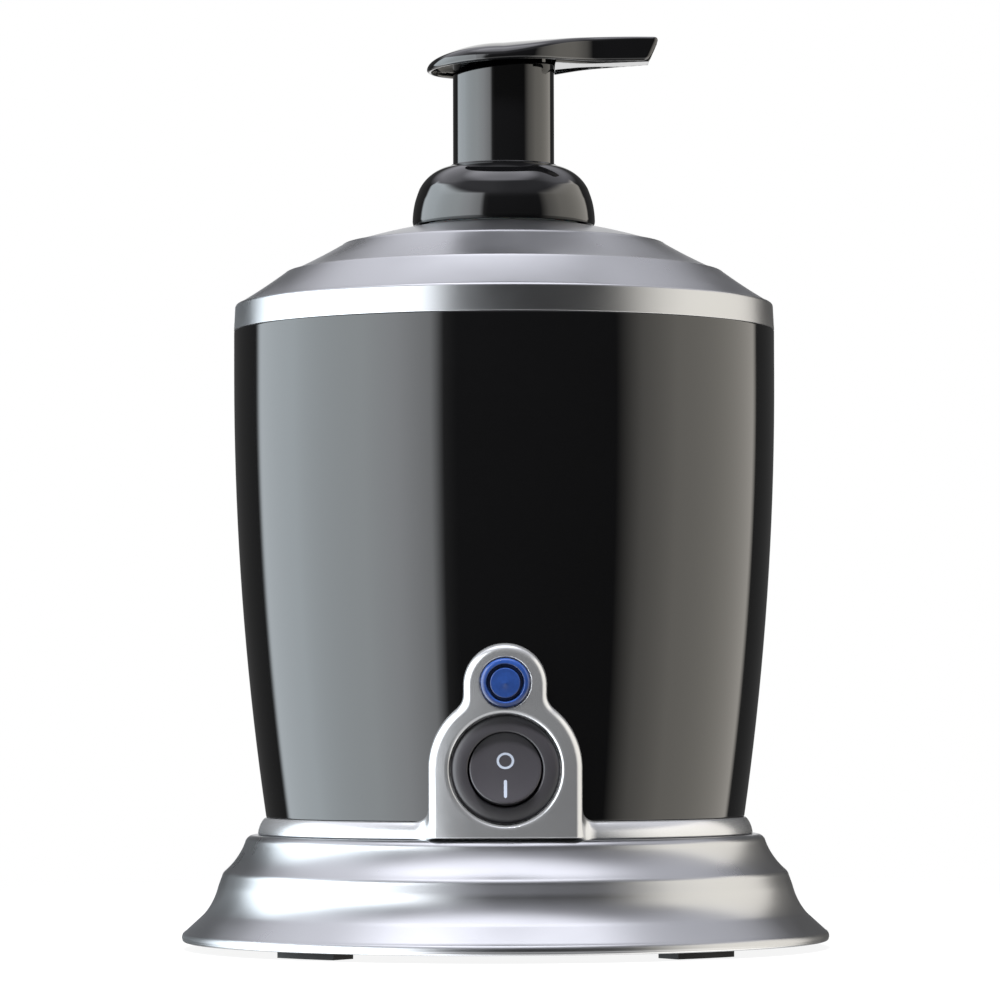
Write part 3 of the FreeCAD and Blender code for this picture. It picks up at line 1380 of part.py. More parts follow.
def make_pump_head():
    plate = cut("head_plate", common("head_top", head_plan("head_plan", "0", "head_reach + 1"),
                                     crown("head_crown", "0")), below_rim("head_below"))
    hollow = common("head_hollow", head_plan("head_hollow_plan", "head_wall", "head_reach + 2"),
                    crown("head_hollow_crown", "head_roof"))
    cap = cut("head_cap", plate, hollow)
    tall = f"{HEAD_RIM} + crown_rise - {SKIRT_BASE}"
    skirt = place(cylinder("skirt_outer", "skirt_radius", tall), level=SKIRT_BASE)
    skirt_inside = place(cylinder("skirt_inner", "skirt_radius - skirt_wall", tall), level=SKIRT_BASE)
    socket_outer = "(cartridge_radius + slip_fit + socket_wall)"
    socket = place(cylinder("socket_outer", socket_outer, tall), level=f"{STEM_TOP} - cartridge_height")
    tubes = common("head_tubes", fuse("head_tube_set", cut("skirt_tube", skirt, skirt_inside), socket),
                   crown("head_tube_crown", "head_roof / 2"))
    stem_way = place(cylinder("stem_way", STEM_BORE, "2 * cartridge_height"),
                     level=f"{STEM_TOP} - 1.5 * cartridge_height")
    nest = place(cylinder("cartridge_nest", "cartridge_radius + slip_fit", "cartridge_height + hole_gap"),
                 level=STEM_TOP)
    foam_way = place(cylinder("foam_way", "outlet_radius", f"{HEAD_RIM} + outlet_rise - {STEM_TOP}"),
                     level=STEM_TOP)
    outlet = spout_hollow("outlet_way", "outlet_radius", f"{HEAD_RIM} + outlet_rise - 2 * outlet_radius / 3",
                          f"{HEAD_RIM} + outlet_rise", "0")
    return cut("head_cut", fuse("head_solid", cap, tubes), stem_way, nest, foam_way, outlet)


def make_spout_cover():
    """The flat floor of the spout, inside its side walls."""
    width = "(2 * head_radius)"
    slab = padded("strip_slab", [
        corner("strip_start", STRIP_START_LEVEL),
        corner("head_reach - tip_slant", STRIP_TIP_LEVEL),
        corner("head_reach - tip_slant", f"{STRIP_TIP_LEVEL} + strip_sheet"),
        corner("strip_start", f"{STRIP_START_LEVEL} + strip_sheet"),
    ], width, "XZ_Plane", f"-{width} / 2")
    return common("strip_solid", slab, head_plan("strip_plan", "head_wall + strip_gap", "head_reach"))


node("pump_head", make_pump_head())
node("spout_cover", make_spout_cover())

# ---------------------------------------------------------------------------------------------
# Checking and writing
# ---------------------------------------------------------------------------------------------

doc.recompute()
faults = [item.Label for item in doc.Objects if {"Invalid", "Error"} & set(item.State)]
faults += [item.Label for item in nodes if item.Shape.isNull() or not item.Shape.isValid()]
if faults:
    raise RuntimeError("failed objects: " + ", ".join(faults))

os.makedirs("parts", exist_ok=True)
for item in nodes:
    item.Shape.exportStep(f"parts/{item.Label}.step")
print(len(nodes), "sub-parts written")
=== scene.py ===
# %% [markdown]
# # Dressing a hot lather machine in Blender
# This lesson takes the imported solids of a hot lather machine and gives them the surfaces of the
# real thing: satin silver lacquer on the base, the ring and the cover, deep gloss black on the
# barrel and the pump, a charcoal rocker switch and a blue lamp. The solids are the frame. They
# stay where they are, and each new piece of mesh is made in the same place and at the same size.

# %% Load the frame
import json
import math

import bmesh
import bpy
import numpy as np
from mathutils import Matrix, Vector


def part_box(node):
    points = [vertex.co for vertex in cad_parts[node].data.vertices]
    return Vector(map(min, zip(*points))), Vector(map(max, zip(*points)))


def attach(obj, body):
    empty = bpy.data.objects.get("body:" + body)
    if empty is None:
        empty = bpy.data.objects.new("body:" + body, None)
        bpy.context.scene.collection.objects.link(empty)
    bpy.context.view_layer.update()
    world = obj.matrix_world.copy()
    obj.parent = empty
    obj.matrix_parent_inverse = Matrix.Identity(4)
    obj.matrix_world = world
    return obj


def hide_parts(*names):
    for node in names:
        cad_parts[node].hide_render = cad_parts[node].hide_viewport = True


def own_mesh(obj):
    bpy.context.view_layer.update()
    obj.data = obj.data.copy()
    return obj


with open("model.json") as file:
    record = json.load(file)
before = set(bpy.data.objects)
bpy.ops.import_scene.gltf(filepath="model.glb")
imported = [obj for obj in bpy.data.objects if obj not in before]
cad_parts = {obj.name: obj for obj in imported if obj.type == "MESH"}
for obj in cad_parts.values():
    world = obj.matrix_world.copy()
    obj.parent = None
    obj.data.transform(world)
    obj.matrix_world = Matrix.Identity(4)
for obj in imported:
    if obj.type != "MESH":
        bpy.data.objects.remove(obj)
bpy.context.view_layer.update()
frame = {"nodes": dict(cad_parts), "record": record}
MM = 0.001

# %% [markdown]
# ## The camera
# The machine is seen straight from the front with a long lens, from a little above the switch.
# The lens looks up by two and a half degrees, so the upright sides lean in very slightly. A long
# lens far away was chosen because it keeps the barrel's edges almost parallel.

# %% Camera
EYE = Vector((-1.12, -1212, 58.75)) * MM
PITCH = math.radians(2.5)
ROLL = math.radians(-0.142)
SENSOR_WIDTH, FOCAL_LENGTH = 36, 174.5  # in millimetres

lens = bpy.data.cameras.new("front_camera")
lens.sensor_width = SENSOR_WIDTH
lens.lens = FOCAL_LENGTH
lens.clip_start = 0.05
camera = bpy.data.objects.new("front_camera", lens)
camera.matrix_world = (Matrix.Translation(EYE) @ Matrix.Rotation(math.pi / 2 + PITCH, 4, "X")
                       @ Matrix.Rotation(ROLL, 4, "Z"))
bpy.context.scene.collection.objects.link(camera)
bpy.context.scene.camera = camera
bpy.context.scene.view_settings.view_transform = "Standard"
print("camera at", tuple(round(c, 4) for c in EYE))

# %% [markdown]
# ## Node trees in a few words
# Every finish below is a small tree of nodes. This helper adds one node, sets its sockets and
# links what feeds it, so that a finish can be read from top to bottom.


# %% A helper that adds a node
def add_node(tree, kind, sockets=None, **settings):
    """One node of a tree. A socket's value is a number, a colour or another node's output."""
    made = tree.nodes.new(kind)
    for name, value in settings.items():
        setattr(made, name, value)
    for name, value in (sockets or {}).items():
        if isinstance(value, bpy.types.NodeSocket):
            tree.links.new(value, made.inputs[name])
        else:
            made.inputs[name].default_value = value
    return made


def math_node(tree, operation, *values):
    """The output of one operation on numbers and sockets."""
    made = add_node(tree, "ShaderNodeMath", dict(enumerate(values)), operation=operation)
    return made.outputs[0]


def sum_of(tree, first, *others):
    """The sum of colours. A number counts for red, green and blue alike."""
    for other in others:
        first = add_node(tree, "ShaderNodeVectorMath", {0: first, 1: other},
                         operation="ADD").outputs[0]
    return first


def smooth_step(tree, value, start, end, low=0.0, high=1.0):
    """A soft step from low to high as the value goes from start to end."""
    step = add_node(tree, "ShaderNodeMapRange", {"Value": value, "From Min": start, "From Max": end,
                                                 "To Min": low, "To Max": high},
                    interpolation_type="SMOOTHSTEP")
    return step.outputs[0]


# %% [markdown]
# ## The studio
# Gloss black shows hardly any colour of its own: what is seen is the room. The room here is a tall
# cool bank of light from the front left round to the side, a weaker warm one on the right, a soft
# box overhead with a hot middle, and darkness in front. Surfaces that look down see a white sheet
# under the machine, and a strip of pale paper low behind it. All this could be built from lamps,
# but a sky painted by direction gives clean edges in the black, and it makes no noise.

# %% The banks of light, by direction
BANKS = [  # degrees round from the front to the right, and red, green and blue strength
    (-180, (1.0, 1.0, 1.0)), (-175, (1.0, 1.0, 1.0)), (-172, (0.08, 0.08, 0.08)),
    (-130, (0.08, 0.08, 0.08)), (-126, (3.2, 3.5, 3.7)), (-100, (5.0, 5.5, 5.8)),
    (-62, (5.4, 5.8, 6.0)), (-46, (4.8, 5.0, 5.2)), (-31, (3.4, 3.5, 3.6)),
    (-25.5, (0.25, 0.25, 0.25)), (-20, (0.09, 0.09, 0.09)), (48, (0.08, 0.08, 0.08)),
    (60, (1.4, 1.35, 1.25)), (78, (2.3, 2.2, 2.0)), (108, (2.2, 2.1, 1.9)),
    (131, (2.0, 1.9, 1.75)), (135, (0.08, 0.08, 0.08)), (172, (0.08, 0.08, 0.08)),
    (175, (1.0, 1.0, 1.0)),
]
BRIGHTEST = 6.0
BANK_TOP = (0.54, 0.62)  # sines of the elevations between which the banks fade out

studio = bpy.data.worlds.new("studio")
bpy.context.scene.world = studio
studio.use_nodes = True
sky = studio.node_tree
sky.nodes.clear()
direction = add_node(sky, "ShaderNodeTexCoord").outputs["Generated"]
axes = add_node(sky, "ShaderNodeSeparateXYZ", {0: direction})
forward = math_node(sky, "MULTIPLY", axes.outputs["Y"], -1.0)
turn = math_node(sky, "ARCTAN2", axes.outputs["X"], forward)
share = math_node(sky, "MULTIPLY_ADD", turn, 0.5 / math.pi, 0.5)
banks = add_node(sky, "ShaderNodeValToRGB", {0: share})
ramp = banks.color_ramp
while len(ramp.elements) < len(BANKS):
    ramp.elements.new(0.5)
for element, (angle, strength) in zip(ramp.elements, BANKS):
    element.position = (angle + 180) / 360
    element.color = [part / BRIGHTEST for part in strength] + [1]
print("studio:", len(BANKS), "stops round the room")

# %% The light overhead and behind, and what the lens sees
OVERHEAD = Vector((-0.04, -0.12, 1.0)).normalized()
OVERHEAD_BLUE = 1.08
# Each step is (start, end, low, high) along one part of the direction, which runs from -1 to 1.
HOT_MIDDLE = (0.83, 0.96, 0.0, 2.6)
FRONT_TO_BACK = (-0.35, 0.1, 0.4, 1.1)
FAR_BACK = (0.35, 0.75, 1.0, 0.88)
RIGHT_TO_LEFT = (0.15, -0.3, 1.0, 1.45)
ROOF_START = (0.45, 0.68)
WHITE_SHEET = (-0.3, -0.55, 0.0, 1.2)
LOW_PAPER = (-0.05, -0.12, 0.0, 0.4)
STRAIGHT_BEHIND = (0.93, 0.985)

toward = add_node(sky, "ShaderNodeVectorMath", {0: direction, 1: OVERHEAD}, operation="DOT_PRODUCT")
hot_light = smooth_step(sky, toward.outputs["Value"], *HOT_MIDDLE)
behind = math_node(sky, "MULTIPLY", smooth_step(sky, axes.outputs["Y"], *FRONT_TO_BACK),
                   smooth_step(sky, axes.outputs["Y"], *FAR_BACK))
box_light = math_node(sky, "MULTIPLY", behind, smooth_step(sky, axes.outputs["X"], *RIGHT_TO_LEFT))
roof = smooth_step(sky, axes.outputs["Z"], *ROOF_START)
above = math_node(sky, "ADD", hot_light, math_node(sky, "MULTIPLY", box_light, roof))
above_blue = math_node(sky, "MULTIPLY", above, OVERHEAD_BLUE)
above_colour = add_node(sky, "ShaderNodeCombineXYZ", {"X": above, "Y": above, "Z": above_blue})
side_share = smooth_step(sky, axes.outputs["Z"], BANK_TOP[1], BANK_TOP[0], 0.0, BRIGHTEST)
banked = add_node(sky, "ShaderNodeVectorMath", {0: banks.outputs["Color"], "Scale": side_share},
                  operation="SCALE")
sheet_light = smooth_step(sky, axes.outputs["Z"], *WHITE_SHEET)
low_behind = math_node(sky, "MULTIPLY", smooth_step(sky, axes.outputs["Z"], *LOW_PAPER),
                       smooth_step(sky, axes.outputs["Y"], *STRAIGHT_BEHIND))
room = sum_of(sky, above_colour.outputs[0], low_behind, sheet_light, banked.outputs[0])
room_light = add_node(sky, "ShaderNodeBackground", {"Color": room, "Strength": 1.0})
white_paper = add_node(sky, "ShaderNodeBackground", {"Color": (1, 1, 1, 1), "Strength": 1.0})
seen = add_node(sky, "ShaderNodeLightPath").outputs["Is Camera Ray"]
mixed = add_node(sky, "ShaderNodeMixShader", {0: seen, 1: room_light.outputs[0],
                                              2: white_paper.outputs[0]})
add_node(sky, "ShaderNodeOutputWorld", {"Surface": mixed.outputs[0]})

# %% [markdown]
# ## A lamp for the shadows
# One soft lamp hangs over the front. It isn't reflected anywhere; it only lights what is matte, so
# that the panel throws a shadow on the switch and the switch's rim one on the rocker.

# %% Lamp
LAMP_SIZE, LAMP_WATTS = (0.30, 0.12), 38.0
LAMP_PLACE, LAMP_AIM = Vector((-0.08, -0.36, 0.76)), Vector((0, -0.07, 0.05))

shade_lamp = bpy.data.lights.new("shade_lamp", "AREA")
shade_lamp.shape = "RECTANGLE"
shade_lamp.size, shade_lamp.size_y = LAMP_SIZE
shade_lamp.energy = LAMP_WATTS
hung = bpy.data.objects.new("shade_lamp", shade_lamp)
hung.location = LAMP_PLACE
hung.rotation_euler = (LAMP_AIM - LAMP_PLACE).to_track_quat("-Z", "Y").to_euler()
hung.visible_glossy = False
bpy.context.scene.collection.objects.link(hung)

# %% [markdown]
# ## The floor
# A pale sheet carries the machine's soft shadow. It fades into the white paper behind it, so that
# no horizon cuts through the picture. Mirror-like surfaces don't see it, as if the machine stood
# on a narrow table in the dark room.

# %% Floor
FLOOR_RADIUS, PAPER_SCALE, PAPER_TINT = 2.0, 900.0, (0.45, 0.48)
PAPER_FADE = (0.06, 0.5, 0.9, 1.0)  # metres from the axis, and the share of white there


def disc_mesh(name, radius, steps):
    """A flat round sheet about the origin."""
    shape = bmesh.new()
    bmesh.ops.create_circle(shape, cap_ends=True, cap_tris=True, segments=steps, radius=radius)
    mesh = bpy.data.meshes.new(name)
    shape.to_mesh(mesh)
    shape.free()
    return mesh


floor = bpy.data.objects.new("floor", disc_mesh("floor", FLOOR_RADIUS, 96))
bpy.context.scene.collection.objects.link(floor)
floor.visible_glossy = False
paper = bpy.data.materials.new("floor_paper")
paper.use_nodes = True
tree = paper.node_tree
tree.nodes.clear()
spot = add_node(tree, "ShaderNodeTexCoord").outputs["Object"]
reach = add_node(tree, "ShaderNodeVectorMath", {0: spot}, operation="LENGTH").outputs["Value"]
grain = add_node(tree, "ShaderNodeTexNoise", {"Vector": spot, "Scale": PAPER_SCALE, "Detail": 4.0})
tint = add_node(tree, "ShaderNodeMapRange", {"Value": grain.outputs["Fac"],
                                             "To Min": PAPER_TINT[0], "To Max": PAPER_TINT[1]})
sheet_paper = add_node(tree, "ShaderNodeBsdfDiffuse", {"Color": tint.outputs[0]})
glow = add_node(tree, "ShaderNodeEmission", {"Color": (1, 1, 1, 1), "Strength": 1.0})
fade = add_node(tree, "ShaderNodeMixShader", {0: smooth_step(tree, reach, *PAPER_FADE),
                                              1: sheet_paper.outputs[0], 2: glow.outputs[0]})
add_node(tree, "ShaderNodeOutputMaterial", {"Surface": fade.outputs[0]})
floor.data.materials.append(paper)

# %% [markdown]
# ## Finishes
# Each finish starts from one function: a base colour that wanders a little, a roughness that
# wanders a little, and a fine relief. What is the same all over the surface is set on the shader
# itself. The sizes of the patterns are real ones: a scale of 4000 is a quarter of a millimetre.


# %% The function behind every finish
def finish_of(name, colour, wander, rough, grain_scale, relief, cloud_scale=60.0, **constants):
    """A finish with clouded colour, clouded roughness and a fine relief, in millimetres."""
    made = bpy.data.materials.new(name)
    made.use_nodes = True
    tree = made.node_tree
    shader = tree.nodes["Principled BSDF"]
    place = add_node(tree, "ShaderNodeTexCoord").outputs["Object"]
    cloud = add_node(tree, "ShaderNodeTexNoise",
                     {"Vector": place, "Scale": cloud_scale, "Detail": 3.0})
    grain = add_node(tree, "ShaderNodeTexNoise",
                     {"Vector": place, "Scale": grain_scale, "Detail": 2.0})
    both = math_node(tree, "MULTIPLY_ADD", grain.outputs["Fac"], 0.5,
                     math_node(tree, "MULTIPLY", cloud.outputs["Fac"], 0.5))
    low = [part * (1 - wander) for part in colour] + [1]
    high = [min(1, part * (1 + wander)) for part in colour] + [1]
    blend = add_node(tree, "ShaderNodeMix", data_type="RGBA")
    tree.links.new(both, blend.inputs[0])
    blend.inputs[6].default_value = low
    blend.inputs[7].default_value = high
    tree.links.new(blend.outputs[2], shader.inputs["Base Color"])
    soft = add_node(tree, "ShaderNodeMapRange",
                    {"Value": cloud.outputs["Fac"], "From Min": 0.3, "From Max": 0.7,
                     "To Min": rough[0], "To Max": rough[1]})
    tree.links.new(soft.outputs[0], shader.inputs["Roughness"])
    bump = add_node(tree, "ShaderNodeBump", {"Height": grain.outputs["Fac"], "Strength": 1.0,
                                             "Distance": relief * MM})
    tree.links.new(bump.outputs["Normal"], shader.inputs["Normal"])
    for socket, value in constants.items():
        shader.inputs[socket.replace("_", " ")].default_value = value
    return made


# %% The finishes of this machine
silver_lacquer = finish_of("silver_lacquer", (0.33, 0.335, 0.345), 0.07, (0.27, 0.33), 6700,
                           0.004, Metallic=1.0)
panel_lacquer = finish_of("panel_lacquer", (0.37, 0.375, 0.385), 0.12, (0.22, 0.27), 6700, 0.007,
                          Metallic=0.86)
gloss_black = finish_of("gloss_black", (0.0007, 0.0007, 0.0008), 0.2, (0.03, 0.06), 420, 0.0006,
                        IOR=1.5)
switch_charcoal = finish_of("switch_charcoal", (0.015, 0.0142, 0.0165), 0.2, (0.36, 0.44), 3800,
                            0.014)
pale_ink = finish_of("pale_ink", (0.135, 0.15, 0.18), 0.06, (0.4, 0.5), 5200, 0.003)
lamp_blue = finish_of("lamp_blue", (0.0068, 0.0208, 0.084), 0.5, (0.12, 0.2), 1500, 0.004,
                      cloud_scale=420.0)
foot_rubber = finish_of("foot_rubber", (0.006, 0.006, 0.006), 0.3, (0.55, 0.75), 2600, 0.02,
                        Specular_IOR_Level=0.2)
moulded_black = finish_of("moulded_black", (0.025, 0.025, 0.027), 0.2, (0.38, 0.5), 3000, 0.012)
cream_moulding = finish_of("cream_moulding", (0.62, 0.57, 0.46), 0.06, (0.35, 0.5), 2400, 0.01)
natural_moulding = finish_of("natural_moulding", (0.38, 0.39, 0.395), 0.06, (0.28, 0.4), 1800,
                             0.006, Subsurface_Weight=0.15, Subsurface_Scale=0.004)
drawn_aluminium = finish_of("drawn_aluminium", (0.62, 0.63, 0.64), 0.08, (0.28, 0.42), 2200, 0.012,
                            Metallic=1.0)
zinc_plate = finish_of("zinc_plate", (0.50, 0.50, 0.47), 0.14, (0.3, 0.5), 2600, 0.01, Metallic=1.0)
spring_wire = finish_of("spring_wire", (0.56, 0.56, 0.57), 0.08, (0.2, 0.32), 5200, 0.004,
                        Metallic=1.0)
heated_steel = finish_of("heated_steel", (0.22, 0.18, 0.15), 0.35, (0.38, 0.55), 1500, 0.02,
                         cloud_scale=160, Metallic=1.0)
tinned_brass = finish_of("tinned_brass", (0.60, 0.47, 0.24), 0.15, (0.25, 0.42), 2600, 0.008,
                         Metallic=1.0)
sensor_can = finish_of("sensor_can", (0.52, 0.52, 0.53), 0.08, (0.25, 0.4), 3000, 0.01,
                       Metallic=1.0)
seal_silicone = finish_of("seal_silicone", (0.24, 0.05, 0.035), 0.15, (0.45, 0.6), 1800, 0.01)
mineral_felt = finish_of("mineral_felt", (0.62, 0.60, 0.53), 0.25, (0.85, 0.95), 1400, 0.25)
bulb_glass = finish_of("bulb_glass", (0.75, 0.85, 1.0), 0.03, (0.02, 0.05), 900, 0.001,
                       Transmission_Weight=0.8, IOR=1.5)
lead_cover = finish_of("lead_cover", (0.30, 0.02, 0.02), 0.15, (0.38, 0.5), 3200, 0.006)

FINISH_BY_SLOT = {
    "satin_silver": silver_lacquer, "gloss_black": gloss_black, "switch_black": switch_charcoal,
    "lamp_blue": lamp_blue, "foot_rubber": foot_rubber, "black_plastic": moulded_black,
    "cream_plastic": cream_moulding, "natural_plastic": natural_moulding,
    "tank_aluminium": drawn_aluminium, "zinc_steel": zinc_plate, "spring_steel": spring_wire,
    "element_steel": heated_steel, "blade_brass": tinned_brass, "sensor_metal": sensor_can,
    "seal_rubber": seal_silicone, "insulation": mineral_felt, "bulb_glass": bulb_glass,
    "lead_cover": lead_cover,
}

# %% Give every solid its finish
for entry in frame["record"]["subparts"]:
    solid = frame["nodes"][entry["node"]]
    solid.data.materials.clear()
    solid.data.materials.append(FINISH_BY_SLOT[entry["material_slot"]])
print("finishes:", len(FINISH_BY_SLOT))

# %% [markdown]
# ## Turned pieces
# Most of this machine comes off a lathe in one's mind: an outline turned round an axis. An outline
# could be drawn as a curve with a screw modifier, but worked out point by point every arc gets as
# many steps as it needs, and every edge gets the small round that a mould leaves. That round is
# what catches the light, so no visible edge stays sharp.


# %% Outlines with arcs and eased edges
def arc_points(start, end, radius, steps=18):
    """The points after start up to end. A positive radius bulges to the right of the way."""
    if not radius:
        return [end]
    chord = end - start
    half = chord.length / 2
    side = Vector((chord.y, -chord.x)).normalized() * math.copysign(1, radius)
    centre = (start + end) / 2 - side * math.sqrt(max(radius ** 2 - half ** 2, 0))
    sweep = math.copysign(2 * math.asin(min(1, half / abs(radius))), radius)
    first = start - centre
    return [centre + Matrix.Rotation(sweep * (i + 1) / steps, 2) @ first for i in range(steps)]


def walk(points, index, step, distance):
    """The point a distance along an outline from one of its points, and what lies between."""
    passed = []
    while True:
        here, following = points[index], points[(index + step) % len(points)]
        gap = (following - here).length
        if gap >= distance:
            return here.lerp(following, distance / gap), passed
        distance -= gap
        index = (index + step) % len(points)
        passed.append(index)


def outline_points(corners):
    """A closed outline. A corner is (radius, level, arc leading there, length of its easing)."""
    corners = [tuple(corner) + (0,) * (4 - len(corner)) for corner in corners]
    points, eases = [], {}
    for before, corner in zip(corners[-1:] + corners[:-1], corners):
        points += arc_points(Vector(before[:2]), Vector(corner[:2]), corner[2])
        eases[len(points) - 1] = corner[3]
    rounds, dropped = {}, set()
    for index, ease in eases.items():
        if ease:
            start, behind = walk(points, index, -1, ease)
            end, ahead = walk(points, index, 1, ease)
            dropped.update(behind + ahead)
            rounds[index] = [start.lerp(points[index], t).lerp(points[index].lerp(end, t), t)
                             for t in (i / 8 for i in range(9))]
    return [point for index, point in enumerate(points) if index not in dropped
            for point in rounds.get(index, [point])]


# %% The lathe
def turned_mesh(name, corners, steps=192):
    """An outline in millimetres turned round the upright axis into a closed mesh in metres."""
    points = outline_points(corners)
    shape = bmesh.new()
    rows = []
    for i in range(steps):
        angle = 2 * math.pi * i / steps
        rows.append([shape.verts.new((p.x * math.cos(angle) * MM, p.x * math.sin(angle) * MM,
                                      p.y * MM)) for p in points])
    for here, following in zip(rows, rows[1:] + rows[:1]):
        for i in range(len(points)):
            j = (i + 1) % len(points)
            shape.faces.new((here[i], following[i], following[j], here[j]))
    bmesh.ops.remove_doubles(shape, verts=shape.verts, dist=1e-7)
    bmesh.ops.recalc_face_normals(shape, faces=shape.faces)
    mesh = bpy.data.meshes.new(name)
    shape.to_mesh(mesh)
    shape.free()
    return mesh


# %% A helper that dresses a body with a new piece
SHARP_ANGLE = math.radians(40)


def dress(name, mesh, finish, body, slot_name, *replaced):
    """Puts a mesh in the scene, riding on a body in place of the nodes that it stands for."""
    piece = bpy.data.objects.new(name, mesh)
    bpy.context.scene.collection.objects.link(piece)
    mesh.materials.append(finish)
    if not mesh.has_custom_normals:
        mesh.shade_smooth()
        mesh.set_sharp_from_angle(angle=SHARP_ANGLE)
        weighted = piece.modifiers.new("even_shading", "WEIGHTED_NORMAL")
        weighted.keep_sharp = True
    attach(piece, body)
    if replaced:
        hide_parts(*replaced)
    print(name, "has", len(mesh.polygons), "faces")
    return piece


# %% [markdown]
# ## Pieces from a formula
# The switch panel grows out of its ring with soft fillets, and the pump's head is one flowing
# shape. Modifiers such as bevel and boolean leave creased shading where such rounds run together.
# Here each shape is a formula instead: the distance to its surface, below nought inside. Soft
# minimum and soft maximum join two formulas with a fillet. A grid finds where the formula changes
# its sign, and every point of the mesh then slides down the slope until it lies on the surface.


# %% Soft joins and the distance to an outline
def soft_min(one, other, width):
    """The lesser of two distances, with a fillet of about this width where they meet."""
    share = np.maximum(width - np.abs(one - other), 0) / np.maximum(width, 1e-6)
    return np.minimum(one, other) - share ** 2 * width / 4


def soft_max(one, other, width):
    """The greater of two distances, with the edge where they meet rounded."""
    return -soft_min(-one, -other, width)


def rounded_end(across, along, half):
    """The distance to a strip that runs down from along = 0 and has a round top end."""
    return np.hypot(across, np.maximum(along, 0)) - half


# %% From a formula to a mesh
def slope_of(distance, points, reach=0.02):
    """How steeply a distance formula rises along each axis at some points."""
    steps = np.eye(3) * reach
    return np.stack([(distance(points + d) - distance(points - d)) / (2 * reach) for d in steps], 1)


def settle(distance, points, rounds, furthest):
    """Slides points onto the surface. Returns them and the surface's normals there."""
    for _ in range(rounds):
        slope = slope_of(distance, points)
        size = (slope ** 2).sum(1, keepdims=True)
        move = slope * distance(points)[:, None] / np.maximum(size, 0.1)
        points = points - np.clip(move, -furthest, furthest)
    slope = slope_of(distance, points)
    return points, slope / np.maximum(np.linalg.norm(slope, axis=1, keepdims=True), 1e-9)


def formula_mesh(name, distance, lines, spread=None, wrap=False, step=0.4):
    """A closed mesh in metres from a formula in millimetres, on a grid of three lines."""
    grid = np.stack(np.meshgrid(*lines, indexing="ij"), axis=-1)
    spots = spread(grid) if spread else grid
    if wrap:
        spots = np.concatenate([spots, spots[:1]])
    inside = (distance(spots.reshape(-1, 3)) < 0).reshape(spots.shape[:3])
    cells = np.array(inside.shape) - 1
    eight = [tuple(slice(o, o + c) for o, c in zip(offset, cells))
             for offset in np.ndindex(2, 2, 2)]
    count = sum(inside[part].astype(int) for part in eight)
    used = (count > 0) & (count < 8)
    index = np.full(cells, -1)
    index[used] = np.arange(used.sum())
    points = sum(spots[part][used] for part in eight) / 8
    faces = []
    for axis in range(3):
        here = np.argwhere(np.diff(inside, axis=axis))
        others = [(axis + 1) % 3, (axis + 2) % 3]
        for other in others:
            first = 0 if wrap and other == 0 else 1
            here = here[(here[:, other] >= first) & (here[:, other] < cells[other])]
        ring = []
        for back in ((1, 1), (0, 1), (0, 0), (1, 0)):
            cell = here.copy()
            cell[:, others] -= back
            ring.append(index[cell[:, 0], cell[:, 1], cell[:, 2]])
        faces.append(np.stack(ring, 1))
    faces = np.concatenate(faces)
    points, _ = settle(distance, points, 6, step)
    for _ in range(3):
        total = np.zeros_like(points)
        share = np.zeros(len(points))
        for i in range(4):
            for j in (i - 1, (i + 1) % 4):
                np.add.at(total, faces[:, i], points[faces[:, j]])
                np.add.at(share, faces[:, i], 1)
        points = points + 0.5 * (total / np.maximum(share, 1)[:, None] - points)
        points, normals = settle(distance, points, 3, step)
    mesh = bpy.data.meshes.new(name)
    mesh.from_pydata((points * MM).tolist(), [], faces.tolist())
    shape = bmesh.new()
    shape.from_mesh(mesh)
    bmesh.ops.recalc_face_normals(shape, faces=shape.faces)
    shape.to_mesh(mesh)
    shape.free()
    mesh.shade_smooth()
    mesh.normals_split_custom_set_from_vertices(normals.tolist())
    return mesh


# %% [markdown]
# ## The flared base
# The base is a thin lacquered bell: a rim that stands just clear of the floor, a hollow flare, a
# round bulge, a second hollow and a narrow brow under the barrel. At the back a bore takes the
# cord's gland. The bell is turned with its inside, so it stays a real shell, and the bore is cut
# with a boolean, because it doesn't lie on the axis.

# %% Base shell
BASE_OUTLINE = [
    (58.0, 28.3), (58.0, 27.1), (60.7, 27.1), (60.7, 25.8), (62.9, 24.5), (67.6, 18.2),
    (69.5, 15.6), (70.7, 9.4), (77.6, 4.2), (78.4, 1.9), (79.8, 1.9), (80.4, 2.5, 0.6),
    (79.6, 4.5, 1.6, 0.5),
    (75.0, 8.7, 0, 0.6), (71.5, 15.6, -16.4, 0.7), (70.6, 18.05, 0, 0.4), (69.6, 19.6, 2.6, 0.5),
    (64.9, 26.3, -17.7, 0.6), (62.7, 28.3, 2.4),
]
GLAND_LEVEL, GLAND_BORE, GLAND_BACK, GLAND_CUT = 16.5, 7.1, 72, 12


def drilled(piece, radius, middle, direction, depth):
    """Cuts a round way through a piece, with a boolean against a turned rod."""
    rod_mesh = turned_mesh(piece.name + "_bit", [(0, -depth), (radius, -depth), (radius, depth),
                                                 (0, depth)], steps=96)
    rod_mesh.transform(Matrix.Translation(Vector(middle) * MM)
                       @ Vector(direction).to_track_quat("Z", "Y").to_matrix().to_4x4())
    rod = bpy.data.objects.new(piece.name + "_bit", rod_mesh)
    bpy.context.scene.collection.objects.link(rod)
    cut = piece.modifiers.new("drilled", "BOOLEAN")
    cut.object = rod
    cut.solver = "EXACT"
    while piece.modifiers[0] != cut:
        piece.modifiers.move(len(piece.modifiers) - 1, 0)
    bpy.context.view_layer.update()
    cut_piece = piece.evaluated_get(bpy.context.evaluated_depsgraph_get())
    solid = bpy.data.meshes.new_from_object(cut_piece)
    piece.modifiers.remove(cut)
    piece.data = solid
    bpy.data.objects.remove(rod)
    print(piece.name, "drilled:", len(solid.polygons), "faces")


